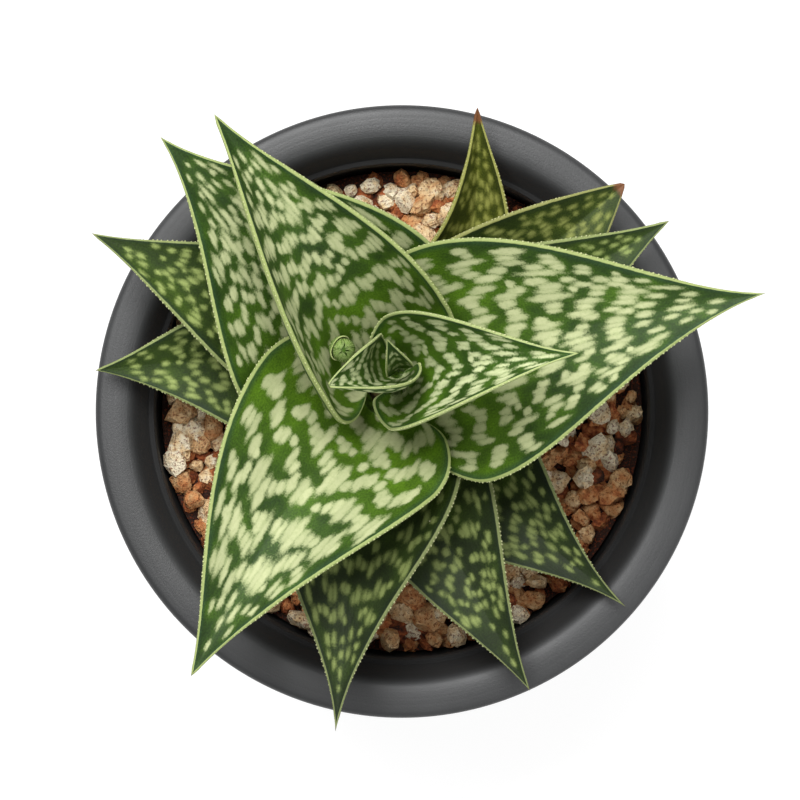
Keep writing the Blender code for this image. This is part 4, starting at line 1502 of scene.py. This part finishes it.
@dataclass
class Gravel:
    """The gravel: a dark bed, and two layers of crushed grains of true size.

    Attributes:
        radius: Radius that the grains stay within.
        foot_radius: Radius of the bed.
        bottom: Height of the bed's underside.
        bed: Height of the bed's top.
        bed_shade_tone: Tone of the bed, the soil under the grains, kept dark as painted shade in the gaps.
        bed_steps: Points around the bed.
        spacing: Mean distance from grain to grain.
        shake: How far a grain may stray from its place in the grid, in x and in y.
        grain: Mean half width of a grain before it is cut.
        planes: How many planes cut a grain.
        sizes: The scales that grains come in.
        size_shares: Share of the grains at each of these scales.
        stem_clearance: Distance from the stem's axis that the grains keep.
        seed: Seed of the random draws.
    """

    radius: float = 48.2
    foot_radius: float = 47.9
    bottom: float = 80.3
    bed: float = 83.2
    bed_shade_tone: float = -0.3
    bed_steps: int = 96
    spacing: float = 3.95
    shake: float = 0.85
    grain: float = 2.3
    planes: int = 7
    sizes: tuple[float, ...] = (0.6, 0.78, 0.92, 1.05, 1.2, 1.4)
    size_shares: tuple[float, ...] = (0.12, 0.2, 0.27, 0.25, 0.12, 0.04)
    stem_clearance: float = 6.2
    seed: int = 21

    def grain_form(self) -> tuple[np.ndarray, np.ndarray]:
        """Work out a 60-sided ball: an icosahedron with a point over each face.

        Returns:
            The directions of its points, and its faces as rows of point numbers.
        """
        gold = (1 + 5 ** 0.5) / 2
        corners = np.array([(a, b * gold, 0) for a in (-1, 1) for b in (-1, 1)], float)
        corners = np.concatenate([corners, corners[:, [2, 0, 1]], corners[:, [1, 2, 0]]])
        corners /= np.linalg.norm(corners[0])
        near = np.linalg.norm(corners[:, None] - corners[None], axis=2) < 1.2
        faces = [(i, j, k) for i in range(12) for j in range(i + 1, 12) for k in range(j + 1, 12)
                 if near[i, j] and near[j, k] and near[i, k]]
        faces = np.array(faces)
        first, second, third = (corners[faces[:, i]] for i in range(3))
        triple = np.einsum("ij,ij->i", first, np.cross(second, third))
        faces[triple < 0] = faces[triple < 0][:, ::-1]
        middles = corners[faces].mean(axis=1)
        middles /= np.linalg.norm(middles, axis=1)[:, None]
        top = np.arange(12, 12 + len(faces))
        split = [np.stack([faces[:, i], faces[:, (i + 1) % 3], top], axis=1) for i in range(3)]
        return np.concatenate([corners, middles]), np.concatenate(split)

    def places(self, draw: np.random.Generator, shift: float, reach: float) -> np.ndarray:
        """Middles of one layer's grains: a shaken triangular grid, clear of the stem.

        Args:
            draw: The random draws.
            shift: How far the grid is moved in x and in y.
            reach: Radius that the middles stay within.

        Returns:
            The middles in x and y, one row a grain.
        """
        row = self.spacing * 3 ** 0.5 / 2
        count = int(self.radius / row) + 2
        j, i = np.meshgrid(np.arange(-count, count + 1), np.arange(-count - 3, count + 4), indexing="ij")
        x = (i + 0.5 * (j % 2)) * self.spacing + shift
        y = j * row + shift
        spots = np.stack([x.ravel(), y.ravel()], axis=1)
        spots += draw.uniform(-self.shake, self.shake, spots.shape)
        clear = np.linalg.norm(spots - STEM_AXIS[:2], axis=1) > self.stem_clearance
        return spots[(np.linalg.norm(spots, axis=1) < reach) & clear]

    def grains(self, draw: np.random.Generator, spots: np.ndarray, height: float, rough: float,
               paleness: float) -> Surface:
        """Grains at the given spots: balls cut by random planes, stretched and turned.

        Along each direction the grain reaches as far as the nearest of its planes allows, which gives
        the flat faces of crushed stone.

        Args:
            draw: The random draws.
            spots: Middles in x and y. Those of large grains near the edge are moved in.
            height: Mean height of the middles.
            rough: How far the heights stray from it.
            paleness: Scale of the grains' tones.

        Returns:
            The grains as one surface.
        """
        ball, faces = self.grain_form()
        count = len(spots)
        planes = draw.normal(0.0, 1.0, (count, self.planes, 3))
        planes /= np.linalg.norm(planes, axis=2)[..., None]
        offset = draw.uniform(0.56, 0.98, (count, 1, self.planes))
        facing = np.einsum("vk,gpk->gvp", ball, planes)
        reach = np.minimum((offset / np.maximum(facing, 0.25)).min(axis=2), 1.12)
        reach *= draw.uniform(0.95, 1.05, reach.shape)
        size = self.grain * draw.choice(self.sizes, (count, 1, 1), p=self.size_shares)
        form = ball[None] * reach[..., None] * size * draw.uniform(0.74, 1.2, (count, 1, 3))
        turn = np.linalg.qr(draw.normal(0.0, 1.0, (count, 3, 3)))[0]
        turn *= np.sign(np.linalg.det(turn))[:, None, None]
        form = np.einsum("gvk,gkl->gvl", form, turn)
        heights = height + draw.uniform(-rough, rough, count)
        far = np.linalg.norm(spots, axis=1)
        limit = self.radius - 0.86 * size[:, 0, 0]
        spots = spots * np.minimum(1.0, limit / np.maximum(far, 1.0))[:, None]
        middles = np.concatenate([spots, heights[:, None]], axis=1)
        points = (form + middles[:, None]).reshape(-1, 3)
        tris = ((np.arange(count) * len(ball))[:, None, None] + faces).reshape(-1, 3)
        tone = np.clip(paleness * draw.beta(2.2, 1.2, count), 0.08, 1.0)
        values = {"tone": np.repeat(tone, len(ball))}
        return Surface(points, np.zeros((0, 4), int), tris, values).outward()

    def build(self, material: bpy.types.Material) -> bpy.types.Object:
        """Lay the bed and the grains, and make them one piece.

        Args:
            material: Its material.

        Returns:
            The piece.
        """
        draw = np.random.default_rng(self.seed)
        edge = self.foot_radius
        outline = [(0.0, self.bed), (edge, self.bed), (edge, self.bottom), (0.0, self.bottom)]
        bed = lathe(np.array(outline), self.bed_steps)
        # Painted shade: the dark bed shows as shade in the gaps between the grains.
        bed.values["tone"] = np.full(len(bed.points), self.bed_shade_tone)
        spots = self.places(draw, shift=1.4, reach=self.radius - 1.2)
        # Painted shade: the lower layer's tones are scaled down so that it reads as shade under the top
        # grains.
        low = self.grains(draw, spots, height=83.6, rough=0.4, paleness=0.45)
        spots = self.places(draw, shift=0.0, reach=self.radius - 1.0)
        top = self.grains(draw, spots, height=85.5, rough=1.15, paleness=1.0)
        piece = Surface.join([bed, low, top]).piece("crushed_gravel", material, Slot.GRAVEL, "gravel")
        piece.data.set_sharp_from_angle(angle=math.radians(40))
        return piece


@dataclass
class Stem:
    """The short stem, with the rings that old leaves leave behind.

    Attributes:
        radius: Its greatest radius.
        bottom: Height of its foot, in the soil.
        neck: Height at which its tapered part ends.
        top: Height of its top.
        ring_step: Distance from ring to ring.
        ring_depth: Depth of a ring.
    """

    radius: float = 4.4
    bottom: float = 70.0
    neck: float = 119.0
    top: float = 120.5
    ring_step: float = 2.6
    ring_depth: float = 0.12

    def build(self, material: bpy.types.Material) -> bpy.types.Object:
        """Turn the stem's outline, with a ring at every step, and make it a piece.

        Args:
            material: Its material.

        Returns:
            The piece.
        """
        height = np.linspace(self.bottom + 0.5, self.top, 120)
        marks = [self.bottom, self.bottom + 4, self.neck - 21, self.neck - 13, self.neck - 7,
                 self.neck - 1.2, self.neck, self.top]
        radius = np.interp(height, marks, [2.6, self.radius, self.radius, 3.5, 2.8, 1.6, 1.1, 0.9])
        radius = radius - self.ring_depth * (0.5 + 0.5 * np.cos(2 * math.pi * height / self.ring_step)) ** 4
        side = np.stack([radius, height], axis=1)[::-1]
        outline = np.concatenate([[[0.0, self.top]], side, [[0.0, self.bottom]]])
        surface = lathe(outline, 48)
        surface.points += STEM_AXIS
        return surface.piece("ringed_stem", material, Slot.STEM, "stem")


@dataclass(frozen=True)
class Bract:
    """One cupped scale of the flower bud: a thin patch of an egg-shaped shell that ends in a point.

    Attributes:
        heading: Where its middle lies round the bud, in degrees.
        girth: Radius of the shell.
        height: Half height of the shell.
        spread: Half width of the patch, in degrees round the bud.
        low: Angle from the top at which it starts, in degrees.
        high: Angle from the top at which its point lies.
        thickness: Thickness of the scale.
        edge: Width of its pale margin, 0 for none.
    """

    heading: float
    girth: float
    height: float
    spread: float
    low: float
    high: float
    thickness: float = 0.28
    edge: float = 0.0

    RINGS = 40
    ACROSS = 25
    STREAKS = 4.0
    STREAK_DEPTH = 0.12
    PLAIN_RIM = 5.0

    def surface(self, middle: np.ndarray) -> Surface:
        """The scale as one closed skin: rings over its outer face and back over the inner one.

        Its pale streaks run from foot to point: two sine waves across it, one finer than the other.

        Args:
            middle: Middle of the egg-shaped shell.

        Returns:
            The scale.
        """
        u = np.linspace(0.0, 0.985, self.RINGS)
        over = np.linspace(1.0, -1.0, self.ACROSS)
        loop = np.concatenate([over, [-1.04], over[::-1], [1.04]])
        v = np.broadcast_to(loop, (len(u), len(loop)))
        depth = np.concatenate([np.zeros(self.ACROSS), [0.5], np.ones(self.ACROSS), [0.5]])
        share = np.sin(np.pi * np.clip(0.5 + 0.5 * u, 0.0, 1.0)) ** 0.6
        polar = np.radians(self.low + (self.high - self.low) * u)[:, None]
        around = math.radians(self.heading) + v * math.radians(self.spread) * share[:, None]
        girth = self.girth - depth * self.thickness
        rings = np.stack([girth * np.sin(polar) * np.cos(around), girth * np.sin(polar) * np.sin(around),
                          (self.height - depth * self.thickness) * np.cos(polar) + 0 * v], axis=-1)
        quads, tris = ring_skin(*v.shape)
        points = np.vstack([rings.reshape(-1, 3), rings[0].mean(axis=0), rings[-1].mean(axis=0)])
        along = u * math.radians(self.low - self.high) * self.height
        width = self.girth * np.sin(polar[:, 0]) * math.radians(self.spread) * share
        cross = v * width[:, None]
        wave = 2 * math.pi * self.STREAKS * v + self.heading
        marking = self.STREAK_DEPTH * (np.sin(wave) + 0.7 * np.sin(2.3 * wave) - 0.2)
        rim = np.full(v.shape, self.PLAIN_RIM)
        if self.edge:
            rim = (1.0 - np.abs(v)) * width[:, None] / self.edge
        values = {"marking": marking, "strength": np.ones(v.shape), "rim": rim,
                  "tipward": 0.5 * u[:, None] + 0 * v}
        for name, grid in values.items():
            values[name] = np.concatenate([grid.ravel(), grid[0, :1], grid[-1, :1]])
        skin = 2.5 * np.stack([along[:, None] + 0 * v + self.heading, cross], axis=-1)
        skin = np.concatenate([skin.reshape(-1, 2), skin[0, :1], skin[-1, :1]])
        return Surface(points + middle, quads, tris, values, skin).outward()


@dataclass
class FlowerBud:
    """The young flower bud: a stalk, a small core and cupped bracts wrapped round it.

    Attributes:
        heading: Its direction from the stem as seen from above, in degrees.
        distance: Distance of its middle from the stem's axis.
        centre_height: Height of its middle.
        stalk: Distance from the axis, height and radius at each point of the stalk.
        core: Radius and height at each point of the core's outline.
        lean: How far the inner bracts stand nearer to the axis than the outer one.
        turn: Turn from one inner bract to the next, in degrees.
        finish: Its finish.
    """

    heading: float = 139.0
    distance: float = 10.2
    centre_height: float = 129.6
    stalk: tuple[tuple[float, float, float], ...] = (
        (5.4, 117.6, 0.7), (6.8, 121.0, 0.8), (8.6, 125.0, 1.0), (9.6, 127.4, 1.6), (10.1, 129.0, 1.5))
    core: tuple[tuple[float, float], ...] = (
        (0.0, 127.6), (1.1, 127.9), (1.45, 128.8), (1.5, 129.8), (1.2, 130.9), (0.7, 131.5), (0.0, 131.7))
    lean: float = 0.28
    turn: float = 137.5
    finish: LeafFinish = LeafFinish(
        "bud_skin", shade(58, 88, 40), shade(58, 90, 30), shade(94, 126, 40), shade(190, 198, 140),
        shade(178, 192, 120), shade(150, 150, 90), 0.08, 0.7)

    def bracts(self) -> tuple[Bract, list[Bract]]:
        """Size the bracts.

        Returns:
            An outer one that stands open as a cup, and nine inner ones closed over the core.
        """
        outer = Bract(12.0, 2.6, 3.1, 96.0, 140.0, 50.0, edge=0.12)
        inner = [Bract(self.turn * i, 2.3 - 0.035 * i, 2.75 - 0.02 * i, 46.0, 130.0, 5.0 + 3.0 * (i % 3),
                       thickness=0.2) for i in range(9)]
        return outer, inner

    def tube(self) -> Surface:
        """The stalk: rings of points square to its path.

        Returns:
            The stalk, in the plane y = 0.
        """
        path = np.array(self.stalk)
        t = np.linspace(0.0, len(path) - 1.0, 16)
        line = np.stack([np.interp(t, np.arange(len(path)), path[:, i]) for i in range(3)], axis=1)
        slope = np.gradient(line[:, :2], axis=0)
        slope /= np.linalg.norm(slope, axis=1)[:, None]
        angle = np.linspace(0.0, 2 * math.pi, 14, endpoint=False)
        middle = np.stack([line[:, 0], 0 * t, line[:, 1]], axis=1)
        normal = np.stack([slope[:, 1], 0 * t, -slope[:, 0]], axis=1)
        side = np.array([0.0, 1.0, 0.0])
        rings = middle[:, None] + line[:, 2][:, None, None] * (
            np.cos(angle)[None, :, None] * normal[:, None] + np.sin(angle)[None, :, None] * side)
        quads, tris = ring_skin(*rings.shape[:2])
        points = np.concatenate([rings.reshape(-1, 3), middle[:1], middle[-1:]])
        return self.plain(Surface(points, quads, tris).outward())

    def plain(self, surface: Surface) -> Surface:
        """Give a surface the values of plain green skin.

        Args:
            surface: The surface.

        Returns:
            The same surface.
        """
        count = len(surface.points)
        surface.values = {"marking": np.full(count, -0.6), "strength": np.ones(count),
                          "rim": np.full(count, Bract.PLAIN_RIM), "tipward": np.full(count, 0.4)}
        surface.skin = surface.points[:, [2, 1]] + 700.0
        return surface

    def build(self, skin: bpy.types.NodeTree, grain: bpy.types.NodeTree) -> bpy.types.Object:
        """Join the stalk, the core and the bracts into one piece.

        Args:
            skin: The group of the markings.
            grain: The group of the surface's grain.

        Returns:
            The piece.
        """
        core = lathe(np.array(self.core), 24)
        core.points += (self.distance, 0.0, 0.0)
        middle = np.array([self.distance, 0.0, self.centre_height])
        nearer = middle - (self.lean, 0.0, 0.0)
        outer, inner = self.bracts()
        scales = [outer.surface(middle)] + [bract.surface(nearer) for bract in inner]
        whole = Surface.join([self.tube(), self.plain(core), *scales]).moved(self.heading, STEM_AXIS)
        return whole.piece("young_flower_bud", self.finish.material(skin, grain), Slot.BUD, "flower_bud")


@dataclass
class Studio:
    """A pale floor, soft light from above and a camera that looks straight down.

    Attributes:
        camera_place: Where the camera is.
        lens: Its focal length.
        sensor: Width of its sensor.
        aim_height: Height of the point on the pot's axis that the lights face.
        floor_side: Side of the floor.
        floor_colour: Colour of the floor.
        floor_patch: Colour of its faint patches.
        floor_glow: How strongly the floor shines by itself.
        white: Colour of the floor's own light and of the world.
        world_strength: Strength of the world's light.
    """

    camera_place: tuple[float, float, float] = (-0.39, 2.24, 800.0)
    lens: float = 161.5
    sensor: float = 36.0
    aim_height: float = 110.0
    floor_side: float = 8000.0
    floor_colour: Colour = (0.3, 0.3, 0.3, 1.0)
    floor_patch: Colour = (0.4, 0.4, 0.4, 1.0)
    floor_glow: float = 0.8
    white: Colour = (1.0, 1.0, 1.0, 1.0)
    world_strength: float = 0.5

    def build(self) -> None:
        """Make the floor, the lights, the world and the camera."""
        mesh = bpy.data.meshes.new("pale_floor")
        half = self.floor_side / 2 * MM
        corners = [(-half, -half, 0), (half, -half, 0), (half, half, 0), (-half, half, 0)]
        mesh.from_pydata(corners, [], [(0, 1, 2, 3)])
        floor = bpy.data.objects.new("pale_floor", mesh)
        material, nodes, shader = new_material("pale_floor", 0.2)
        tint = nodes.noise(nodes.place(), 0.01, 2.0)
        colour = nodes.mix(nodes.scaled(tint, 0.04), self.floor_colour, self.floor_patch)
        nodes.feed(shader["Base Color"], colour)
        shader["Roughness"].default_value = 0.9
        shader["Emission Color"].default_value = self.white
        shader["Emission Strength"].default_value = self.floor_glow
        mesh.materials.append(material)
        bpy.context.scene.collection.objects.link(floor)
        self.light("key", (-130.0, 320.0, 800.0), 440.0, 8.6)
        self.light("fill", (420.0, -420.0, 620.0), 700.0, 2.0)
        world = bpy.data.worlds.new("studio")
        bpy.context.scene.world = world
        world.use_nodes = True
        background = world.node_tree.nodes["Background"].inputs
        background["Color"].default_value = self.white
        background["Strength"].default_value = self.world_strength
        camera = bpy.data.objects.new("camera", bpy.data.cameras.new("camera"))
        camera.location = [part * MM for part in self.camera_place]
        camera.data.lens = self.lens
        camera.data.sensor_width = self.sensor
        camera.data.clip_start = 0.01
        bpy.context.scene.collection.objects.link(camera)
        bpy.context.scene.camera = camera
        bpy.context.scene.view_settings.view_transform = "Standard"

    def light(self, name: str, place: tuple[float, float, float], size: float, power: float) -> None:
        """Add a square soft light that faces the plant.

        Args:
            name: The light's name.
            place: Where it hangs.
            size: Its side.
            power: Its power in watts.
        """
        data = bpy.data.lights.new(name, "AREA")
        data.size = size * MM
        data.energy = power
        lamp = bpy.data.objects.new(name, data)
        lamp.location = [part * MM for part in place]
        direction = np.array([0.0, 0.0, self.aim_height]) - np.array(place)
        flat = math.hypot(direction[0], direction[1])
        spin = math.atan2(direction[0], -direction[1]) + math.pi
        lamp.rotation_euler = (math.atan2(flat, -direction[2]), 0.0, spin)
        bpy.context.scene.collection.objects.link(lamp)


def dress_soil(material: bpy.types.Material) -> None:
    """Give the CAD soil a better material.

    Args:
        material: The material.
    """
    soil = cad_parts["soil"]
    for slot in soil.material_slots:
        slot.material = material


def main() -> None:
    """Build the studio, then every piece in order."""
    logging.basicConfig(level=logging.INFO, format="%(name)s: %(message)s")
    Studio().build()
    grain, skin = grain_group(), skin_group()
    soil = EarthFinish("moist_soil", shade(36, 25, 18), shade(74, 54, 38), 0.3, 1.4, 1.2)
    bark = EarthFinish("stem_bark", shade(64, 34, 24), shade(118, 104, 62), 0.25, 1.8, 0.4)
    dress_soil(soil.material(grain))
    Pot().build(PlasticFinish().material(grain))
    Gravel().build(StoneFinish().material(grain))
    Stem().build(bark.material(grain))
    Rosette().build(skin, grain)
    FlowerBud().build(skin, grain)


if __name__ == "__main__":
    main()
